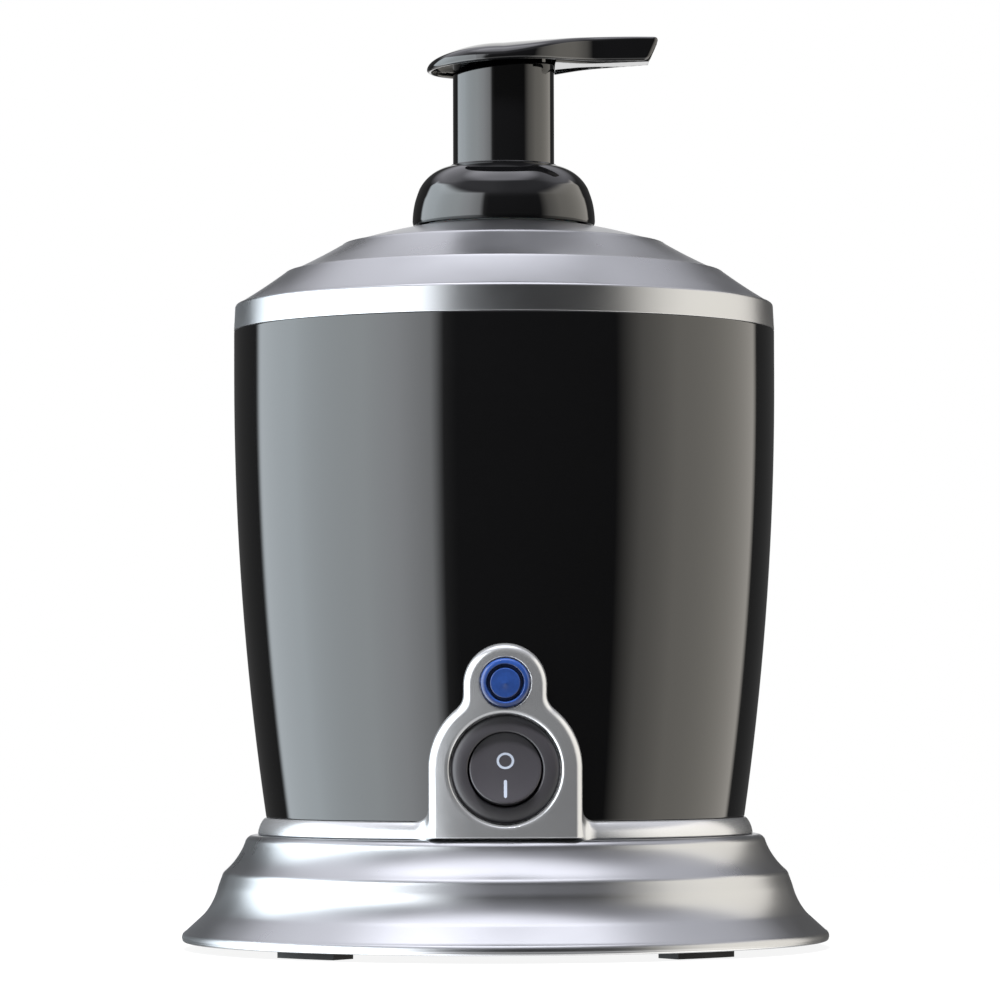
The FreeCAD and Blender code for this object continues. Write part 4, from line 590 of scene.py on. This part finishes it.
base_piece = dress("base_bell", turned_mesh("base_bell", BASE_OUTLINE), silver_lacquer, "housing",
                   "satin_silver", "base_shell")
drilled(base_piece, GLAND_BORE, (0, GLAND_BACK, GLAND_LEVEL), (0, 1, 0), GLAND_CUT)

# %% [markdown]
# ## The barrel
# The barrel is a moulded black tube that widens on one long arc and is straight at the top. Its
# front has two round ways, for the switch and for the lamp, which the panel hides.

# %% Barrel
BARREL_RADIUS, BARREL_FOOT, ARC_END, BARREL_TOP = 67.6, 32.6, 142.6, 153.7
BARREL_SPREAD = 8.0  # how much wider the barrel is at the arc's end than at its foot
BARREL_ARC = ((ARC_END - BARREL_FOOT) ** 2 + BARREL_SPREAD ** 2) / (2 * BARREL_SPREAD)
PANEL_ORIGIN = Vector((0, -64.4, 45.0))
PANEL_TILT = math.radians(4.84)
PANEL_UP = Vector((0, -math.sin(PANEL_TILT), math.cos(PANEL_TILT)))
PANEL_OUT = Vector((0, -math.cos(PANEL_TILT), -math.sin(PANEL_TILT)))
LAMP_RISE = 20.7
SWITCH_WAY, LAMP_WAY, WAY_DEPTH = 11.2, 6.9, 14

barrel_piece = dress("barrel_tube", turned_mesh("barrel_tube", [
    (57.4, BARREL_FOOT, -BARREL_ARC), (59.6, BARREL_FOOT, 0, 0.35),
    (BARREL_RADIUS, ARC_END, BARREL_ARC), (BARREL_RADIUS, BARREL_TOP, 0, 0.35),
    (65.4, BARREL_TOP), (65.4, ARC_END)]), gloss_black, "housing", "gloss_black", "barrel_shell")
drilled(barrel_piece, SWITCH_WAY, PANEL_ORIGIN, PANEL_OUT, WAY_DEPTH)
drilled(barrel_piece, LAMP_WAY, PANEL_ORIGIN + LAMP_RISE * PANEL_UP, PANEL_OUT, WAY_DEPTH)

# %% [markdown]
# ## The stepped cover
# The cover is lacquered like the base: a narrow straight band, then two shallow hollow tiers and
# a low mouth round the tank's neck. The step between two tiers is a small rolled edge.

# %% Cover
dress("stepped_cover", turned_mesh("stepped_cover", [
    (64.8, BARREL_TOP), (BARREL_RADIUS, BARREL_TOP, 0, 0.25), (67.3, 159.6), (66.4, 160.5, 0.9),
    (55.2, 168.0, -150, 0.5), (53.6, 168.5, 1.6), (40.8, 175.2, -150, 0.5), (39.2, 175.7, 1.6),
    (18.9, 180.5, 150, 0.4), (18.9, 178.3), (40.0, 173.1), (54.4, 165.6), (62.8, 158.9),
    (62.8, 149.7), (65.1, 149.7), (65.1, BARREL_TOP)]), silver_lacquer, "housing",
    "satin_silver", "top_cover")

# %% [markdown]
# ## The switch panel and its ring
# One moulding carries the ring under the barrel and the keyhole-shaped panel in front. Its lip is
# a generous round, its waist and its foot run out in fillets, and the switch sits in a shallow
# recess with a soft edge. The grid for it is bent round the barrel, finer in front.

# %% Formula of the panel
PANEL_HALF, NECK_HALF, NECK_DROP, LIP_ROUND, WAIST_BLEND = 18.3, 9.95, 0.8, 1.8, 2.0
PANEL_BULGE, PANEL_CURVE, LAMP_SEAT = 1.1, 80.0, 0.5
RECESS_RADIUS, RECESS_DEPTH, RECESS_LIP, FRONT_ONLY = 13.2, 1.5, 1.3, 30.0
RING_ARC_CENTRE, RING_ARC_RADIUS = (54.78, 28.0), 6.88
SWITCH_HOLE, LAMP_HOLE, LAMP_SEAT_RADIUS = 10.15, 4.5, 6.1
FRAME = np.array([(1, 0, 0), PANEL_UP, PANEL_OUT])


def panel_distance(points):
    """The distance to the panel and the ring, taken as one moulding."""
    across, up, out = ((points - np.array(PANEL_ORIGIN)) @ FRAME.T).T
    across = np.abs(across)
    level = points[:, 2]
    reach = np.hypot(points[:, 0], points[:, 1])
    keyhole = soft_min(rounded_end(across, up, PANEL_HALF),
                       rounded_end(across, up - LAMP_RISE + NECK_DROP, NECK_HALF), WAIST_BLEND)
    face = np.hypot(across, out + PANEL_CURVE - PANEL_BULGE) - PANEL_CURVE + LIP_ROUND
    side = keyhole + LIP_ROUND
    plate = (np.minimum(np.maximum(side, face), 0)
             + np.hypot(np.maximum(side, 0), np.maximum(face, 0)) - LIP_ROUND)
    barrel = BARREL_RADIUS - BARREL_ARC + np.sqrt(BARREL_ARC ** 2 - (ARC_END - level) ** 2)
    plate = np.maximum(plate, np.maximum(barrel - 0.6 - reach, points[:, 1] + FRONT_ONLY))
    plate = soft_max(plate, 28.7 - level, 0.4)
    ring = np.hypot(reach - RING_ARC_CENTRE[0], level - RING_ARC_CENTRE[1]) - RING_ARC_RADIUS
    for limit in (level - BARREL_FOOT, 28.35 - level, 58.6 - reach):
        ring = soft_max(ring, limit, 0.5)
    flare = 3.6 * np.clip((across - 15.0) / 3.0, 0, 1)
    whole = soft_min(plate, ring, flare)
    centre = np.hypot(across, up)
    recess = np.maximum(centre - RECESS_RADIUS, -RECESS_DEPTH - out)
    whole = soft_max(whole, -recess, RECESS_LIP)
    whole = np.maximum(whole, SWITCH_HOLE - centre)
    lamp = np.hypot(across, up - LAMP_RISE)
    whole = soft_max(whole, -np.maximum(lamp - LAMP_SEAT_RADIUS, LAMP_SEAT - out), 0.3)
    return np.maximum(whole, LAMP_HOLE - lamp)


# %% Panel and ring
def round_the_barrel(grid):
    """Bends a grid of (angle, reach, level) round the upright axis, with nought in front."""
    angle, reach, level = grid[..., 0], grid[..., 1], grid[..., 2]
    return np.stack([reach * np.sin(angle), -reach * np.cos(angle), level], -1)


FINE = 0.32
front = np.radians(22.0)
angles = np.concatenate([np.linspace(-front, front, int(2 * front * 63 / FINE)),
                         np.linspace(front, 2 * math.pi - front, 262)[1:-1]])
panel_mesh = formula_mesh("panel_and_ring", panel_distance,
                          [angles, np.arange(57.9, 72.5, FINE), np.arange(27.9, 78.0, FINE)],
                          round_the_barrel, wrap=True, step=FINE)
dress("panel_and_ring", panel_mesh, panel_lacquer, "housing", "satin_silver", "switch_panel")

# %% [markdown]
# ## The switch
# The switch is a charcoal moulding: a bezel that drops away at its edge, a deep round well, and a
# rocker whose face is hollowed along its height. The rocker is a grid of rings, each ring lifted
# to the hollow's level, so that the edge keeps its small round wherever the hollow meets it.

# %% Bezel and well
TO_PANEL = Matrix.Translation(PANEL_ORIGIN * MM) @ Matrix(
    ((1, 0, 0), PANEL_UP, PANEL_OUT)).transposed().to_4x4()
TO_LAMP = Matrix.Translation((LAMP_RISE * PANEL_UP + PANEL_BULGE * PANEL_OUT) * MM) @ TO_PANEL

bezel_mesh = turned_mesh("switch_bezel", [
    (0, -7.7), (8.95, -7.7, 0, 0.4), (8.95, -0.1, 0, 0.5), (12.1, -0.45, -7.5, 0.4),
    (12.95, -1.35, -1.6), (12.95, -1.5), (10.0, -1.5), (10.0, -19.5, 0, 0.6), (0, -19.5)],
    steps=160)
bezel_mesh.transform(TO_PANEL)
dress("switch_bezel", bezel_mesh, switch_charcoal, "housing", "switch_black", "switch_body")

# %% Rocker
ROCKER_RADIUS, ROCKER_FACE, ROCKER_HOLLOW, ROCKER_BACK = 8.6, 2.0, 40.0, 3.2
PIVOT_OUT, REST_TILT = -2.3, math.radians(11)
TO_ROCKER = (TO_PANEL @ Matrix.Translation((0, 0, PIVOT_OUT * MM))
             @ Matrix.Rotation(-REST_TILT, 4, "X"))


def face_level(up):
    """How far the rocker's hollow face stands out at a height along it."""
    return ROCKER_FACE + ROCKER_HOLLOW - math.sqrt(ROCKER_HOLLOW ** 2 - up ** 2)


def rocker_mesh(name, around=128):
    """Rings from the face's middle over its rounded edge and down the side to the back."""
    edge = 0.45
    rings = [(ROCKER_RADIUS * i / 14 - 0.034 * i, 0.0, True) for i in range(1, 15)]
    rings += [(ROCKER_RADIUS - edge + edge * math.sin(a), edge - edge * math.cos(a), True)
              for a in (math.radians(15 * i) for i in range(1, 7))]
    rings += [(ROCKER_RADIUS, 1.0, True), (8.75, 0.0, False), (8.2, -ROCKER_BACK, False),
              (7.6, -ROCKER_BACK - 0.3, False), (0.4, -ROCKER_BACK - 0.3, False)]
    shape = bmesh.new()
    rows = []
    for radius, drop, on_face in rings:
        row = []
        for i in range(around):
            angle = 2 * math.pi * i / around
            x, up = radius * math.cos(angle), radius * math.sin(angle)
            level = face_level(up) - drop if on_face else drop
            row.append(shape.verts.new((x * MM, up * MM, level * MM)))
        rows.append(row)
    for here, following in zip(rows, rows[1:]):
        for i in range(around):
            j = (i + 1) % around
            shape.faces.new((here[i], here[j], following[j], following[i]))
    shape.faces.new(reversed(rows[0]))
    shape.faces.new(rows[-1])
    bmesh.ops.recalc_face_normals(shape, faces=shape.faces)
    mesh = bpy.data.meshes.new(name)
    shape.to_mesh(mesh)
    shape.free()
    mesh.transform(TO_ROCKER)
    return mesh


dress("rocker", rocker_mesh("rocker"), switch_charcoal, "rocker", "switch_black", "switch_rocker")


# %% [markdown]
# ## Off and on
# The two marks are printed in pale ink. Each is a thin sheet of its own that follows the hollow
# face a few hundredths of a millimetre above it, so that it rides on the rocker and stays crisp.

# %% Marks
OFF_MIDDLE, OFF_RADII, OFF_FLAT = 1.7, (1.5, 2.08), 0.94
ON_LOW, ON_HIGH, ON_STEPS, STROKE, LEAST_HALF_SQUARED = -7.15, -2.8, 24, 0.38, 0.0025
MARK_RISES = (0.03, -0.1)


def mark_mesh(name, strips):
    """Quads between two lines of (across, up) points, laid just proud of the face."""
    shape = bmesh.new()
    for inner, outer, closed in strips:
        layers = [[[shape.verts.new((x * MM, up * MM, (face_level(up) + rise) * MM))
                    for x, up in line] for line in (inner, outer)] for rise in MARK_RISES]
        (top_in, top_out), (low_in, low_out) = layers
        count = len(inner)
        for i in range(count if closed else count - 1):
            j = (i + 1) % count
            for a, b in ((top_in, top_out), (low_out, low_in), (low_in, top_in),
                         (top_out, low_out)):
                shape.faces.new((a[i], a[j], b[j], b[i]))
        if not closed:
            for i in (0, count - 1):
                shape.faces.new((top_in[i], top_out[i], low_out[i], low_in[i]))
    bmesh.ops.recalc_face_normals(shape, faces=shape.faces)
    mesh = bpy.data.meshes.new(name)
    shape.to_mesh(mesh)
    shape.free()
    mesh.transform(TO_ROCKER)
    return mesh


def ring_line(radius, count=72):
    """Points on the off mark's ring, which is a little flatter than a circle."""
    return [(radius * math.cos(2 * math.pi * i / count),
             OFF_MIDDLE + OFF_FLAT * radius * math.sin(2 * math.pi * i / count))
            for i in range(count)]


def bar_half(up):
    """Half the on mark's width at a height, narrowing to round ends."""
    past = max(0, ON_LOW + STROKE - up, up - ON_HIGH + STROKE)
    return math.sqrt(max(STROKE ** 2 - past ** 2, LEAST_HALF_SQUARED))


on_levels = [ON_LOW + (ON_HIGH - ON_LOW) * i / ON_STEPS for i in range(ON_STEPS + 1)]
bar_left = [(-bar_half(up), up) for up in on_levels]
bar_right = [(bar_half(up), up) for up in on_levels]
off_lines = [ring_line(radius) for radius in OFF_RADII]
dress("off_mark", mark_mesh("off_mark", [(*off_lines, True)]), pale_ink, "rocker", "switch_black")
dress("on_mark", mark_mesh("on_mark", [(bar_left, bar_right, False)]), pale_ink, "rocker",
      "switch_black")

# %% [markdown]
# ## The lamp
# A blue lens with a raised outer ring, a groove, and a slightly crowned disc in the middle. The
# groove is real geometry: it reads as a dark ring because little light gets into it.

# %% Lens
lens_mesh = turned_mesh("lamp_window", [
    (0, 0.85), (3.55, 0.55, 14, 0.25), (3.65, -1.3), (4.2, -1.3), (4.55, 0.6, 0, 0.3),
    (5.6, 0.35, 0, 0.45), (5.9, -0.35), (5.9, -0.6), (4.4, -0.6), (4.4, -7.6), (3.4, -7.6),
    (3.4, -0.9), (0, -0.9)], steps=128)
lens_mesh.transform(TO_LAMP)
dress("lamp_window", lens_mesh, lamp_blue, "housing", "lamp_blue", "lamp_lens")

# %% [markdown]
# ## The pump's collar
# The collar is a gloss black cap: short sides that draw in, a tight dome, and a thin upright lip
# round the skirt's hole. It is turned with its inside, so that its wall shows when it is lifted.

# %% Collar
dress("collar_cap", turned_mesh("collar_cap", [
    (21.1, 180.4), (22.6, 180.4), (22.9, 181.6, 2.4), (21.8, 188.1, 22, 1.6),
    (13.6, 195.3, 10.5, 0.2), (13.4, 195.6, 0, 0.1), (13.1, 195.6, 0, 0.1), (13.1, 193.5),
    (15.0, 193.5), (15.0, 190.0), (19.2, 189.0), (19.2, 186.0), (21.1, 185.2)]), gloss_black,
    "collar", "gloss_black", "pump_collar")

# %% [markdown]
# ## The pump's head
# The head is a round plate with a crowned top that narrows into a beak. It is hollow underneath,
# with a thin rolled rim, and the skirt hangs from it. The whole is one formula.

# %% Formula of the head
HEAD_RADIUS, HEAD_RIM, SKIRT_FOOT = 19.3, 219.0, 184.2
CROWN_CROSS, CROWN_RISE, TIP_RISE, EDGE_RISE = 58.0, 7.2, 8.67, 1.2
LONG_ARC, TAIL_ARC = 400.0, 37.0
RIM_WAIST, RIM_TIP, TIP_SLANT, TIP_END = 1.9, 2.5, 2.7, 39.2
TAIL_EDGE, CREST_END = -20.3, 40.2
BEAK_HALF, BEAK_TAPER, BEAK_BLEND = 10.2, 0.1403, 8.0
HEAD_WALL, HEAD_ROOF, RIM_ROUND, TIP_ROUND, INNER_ROUND = 1.3, 1.6, 1.1, 1.5, 0.5
EDGE_PLACES, EDGE_ROUNDS = (-19, -4, 12, 34), (1.6, 2.6, 1.8, 0.9)
RIM_PLACES, RIM_RISES = (-19.3, 17.3, 37.2), (0, RIM_WAIST, RIM_TIP)
SKIRT_OUTER, SKIRT_INNER, SKIRT_SINK = 12.7, 11.4, 0.8


def crown_line(along):
    """The crest's level from the tail over the middle to the tip."""
    def arc(start, end, radius):
        chord = np.subtract(end, start)
        half = np.hypot(*chord) / 2
        inward = np.array((chord[1], -chord[0])) / (2 * half)
        centre = np.add(start, end) / 2 + inward * math.sqrt(radius ** 2 - half ** 2)
        return centre[1] + np.sqrt(np.maximum(radius ** 2 - (along - centre[0]) ** 2, 1))

    crest = (0, HEAD_RIM + CROWN_RISE)
    tail = arc((TAIL_EDGE, HEAD_RIM + EDGE_RISE), crest, TAIL_ARC)
    tip = arc(crest, (CREST_END, HEAD_RIM + TIP_RISE), LONG_ARC)
    return np.where(along < 0, tail, tip)


def head_plan(x, y):
    """The distance to the head's outline from above: a round plate that narrows to a beak."""
    beak = np.maximum((np.abs(y) - BEAK_HALF + BEAK_TAPER * x) * 0.99, -x)
    return soft_min(np.hypot(x, y) - HEAD_RADIUS, beak, BEAK_BLEND)


def head_distance(points):
    """The distance to the head: a hollow cap with a rolled rim, and the skirt under it."""
    x, y, z = points.T
    plan = head_plan(x, y)
    top = z - crown_line(x) + CROWN_CROSS - np.sqrt(CROWN_CROSS ** 2 - y ** 2)
    edge = np.interp(x, EDGE_PLACES, EDGE_ROUNDS)
    rim = np.interp(x, RIM_PLACES, [HEAD_RIM + rise for rise in RIM_RISES])
    end = (x - TIP_END + (HEAD_RIM + TIP_RISE - z) * TIP_SLANT / (TIP_RISE - RIM_TIP)) * 0.93
    cap = soft_max(plan, top, edge)
    cap = soft_max(cap, rim - z, RIM_ROUND)
    cap = soft_max(cap, end, TIP_ROUND)
    hollow = np.maximum(plan + HEAD_WALL, top + HEAD_ROOF)
    cap = soft_max(cap, -hollow, INNER_ROUND)
    reach = np.hypot(x, y)
    tube = np.maximum(reach - SKIRT_OUTER, SKIRT_INNER - reach)
    skirt = np.maximum(tube, np.maximum(SKIRT_FOOT - z, top + SKIRT_SINK))
    return np.minimum(cap, skirt)


# %% Head
HEAD_STEP = 0.34
head_levels = np.concatenate([np.arange(183.9, 185.2, 0.3), np.arange(186, 216, 2.0),
                              np.arange(216.4, 229.2, HEAD_STEP)])
head_mesh = formula_mesh("pump_head_cap", head_distance,
                         [np.arange(-20.4, 40.6, HEAD_STEP), np.arange(-20.06, 20.1, HEAD_STEP),
                          head_levels], step=HEAD_STEP)
dress("pump_head_cap", head_mesh, gloss_black, "head", "gloss_black", "pump_head")

# %% [markdown]
# ## The floor of the beak
# A strip closes the beak from below. It is flush at the tip and lies between two low walls towards
# the skirt. A bent box would do for the strip, but from a formula its edges follow the beak.

# %% Beak's floor
FLOOR_START, FLOOR_END, FLOOR_SHEET, FLOOR_INSET, WALL_WIDTH = 12.9, 36.5, 1.1, 1.4, 0.8
FLOOR_LOW, FLOOR_HIGH, FLOOR_SINK, SINK_END = HEAD_RIM + 1.1, HEAD_RIM + 2.4, 0.65, 31.0


def floor_distance(points):
    """The distance to a strip inside the beak, sunk between its walls towards the skirt."""
    x, y, z = points.T
    inset = head_plan(x, y) + FLOOR_INSET
    low = FLOOR_LOW + (FLOOR_HIGH - FLOOR_LOW) * (x - FLOOR_START) / (FLOOR_END - FLOOR_START)
    strip = soft_max(soft_max(inset, low - z, 0.3), z - low - FLOOR_SHEET, 0.2)
    strip = np.maximum(strip, np.maximum(FLOOR_START - x, x - FLOOR_END))
    sink = FLOOR_SINK * np.clip((SINK_END - x) / (SINK_END - FLOOR_START), 0, 1)
    return soft_max(strip, -np.maximum(inset + WALL_WIDTH, z - low - sink), 0.15)


floor_mesh = formula_mesh("beak_floor", floor_distance,
                          [np.arange(12.5, 37.1, 0.28), np.arange(-14.56, 14.6, 0.28),
                           np.arange(219.8, 223.4, 0.24)], step=0.24)
dress("beak_floor", floor_mesh, gloss_black, "head", "gloss_black", "spout_cover")

# %% [markdown]
# ## The pump's spring
# The spring shortens when the head is pressed. Its wire is a helix swept as a mesh tube, a little
# flat at both ends as wound springs are.

# %% Spring
SPRING_RADIUS, WIRE_RADIUS, SPRING_TURNS, PRESS_TRAVEL = 7.6, 0.45, 6.0, 16.0


def coil_mesh(name, low, high, steps=60, sides=12):
    """A wire wound between two levels, closed at both ends."""
    shape = bmesh.new()
    rows = []
    count = int(SPRING_TURNS * steps)
    for i in range(count + 1):
        share = i / count
        angle = 2 * math.pi * SPRING_TURNS * share
        lift = share - 0.035 * math.sin(2 * math.pi * share)
        outward = Vector((math.cos(angle), math.sin(angle), 0))
        middle = outward * SPRING_RADIUS + Vector((0, 0, low + (high - low) * lift))
        row = []
        for k in range(sides):
            around = 2 * math.pi * k / sides
            across = math.cos(around) * outward + math.sin(around) * Vector((0, 0, 1))
            row.append(shape.verts.new((middle + WIRE_RADIUS * across) * MM))
        rows.append(row)
    for here, following in zip(rows, rows[1:]):
        for k in range(sides):
            j = (k + 1) % sides
            shape.faces.new((here[k], here[j], following[j], following[k]))
    shape.faces.new(rows[0])
    shape.faces.new(rows[-1])
    bmesh.ops.recalc_face_normals(shape, faces=shape.faces)
    mesh = bpy.data.meshes.new(name)
    shape.to_mesh(mesh)
    shape.free()
    return mesh


spring_low, spring_high = (corner[2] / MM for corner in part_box("return_spring"))
spring_piece = dress("press_spring", coil_mesh("press_spring", spring_low + WIRE_RADIUS,
                                               spring_high - WIRE_RADIUS),
                     spring_wire, "pump_unit", "spring_steel", "return_spring")
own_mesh(spring_piece)
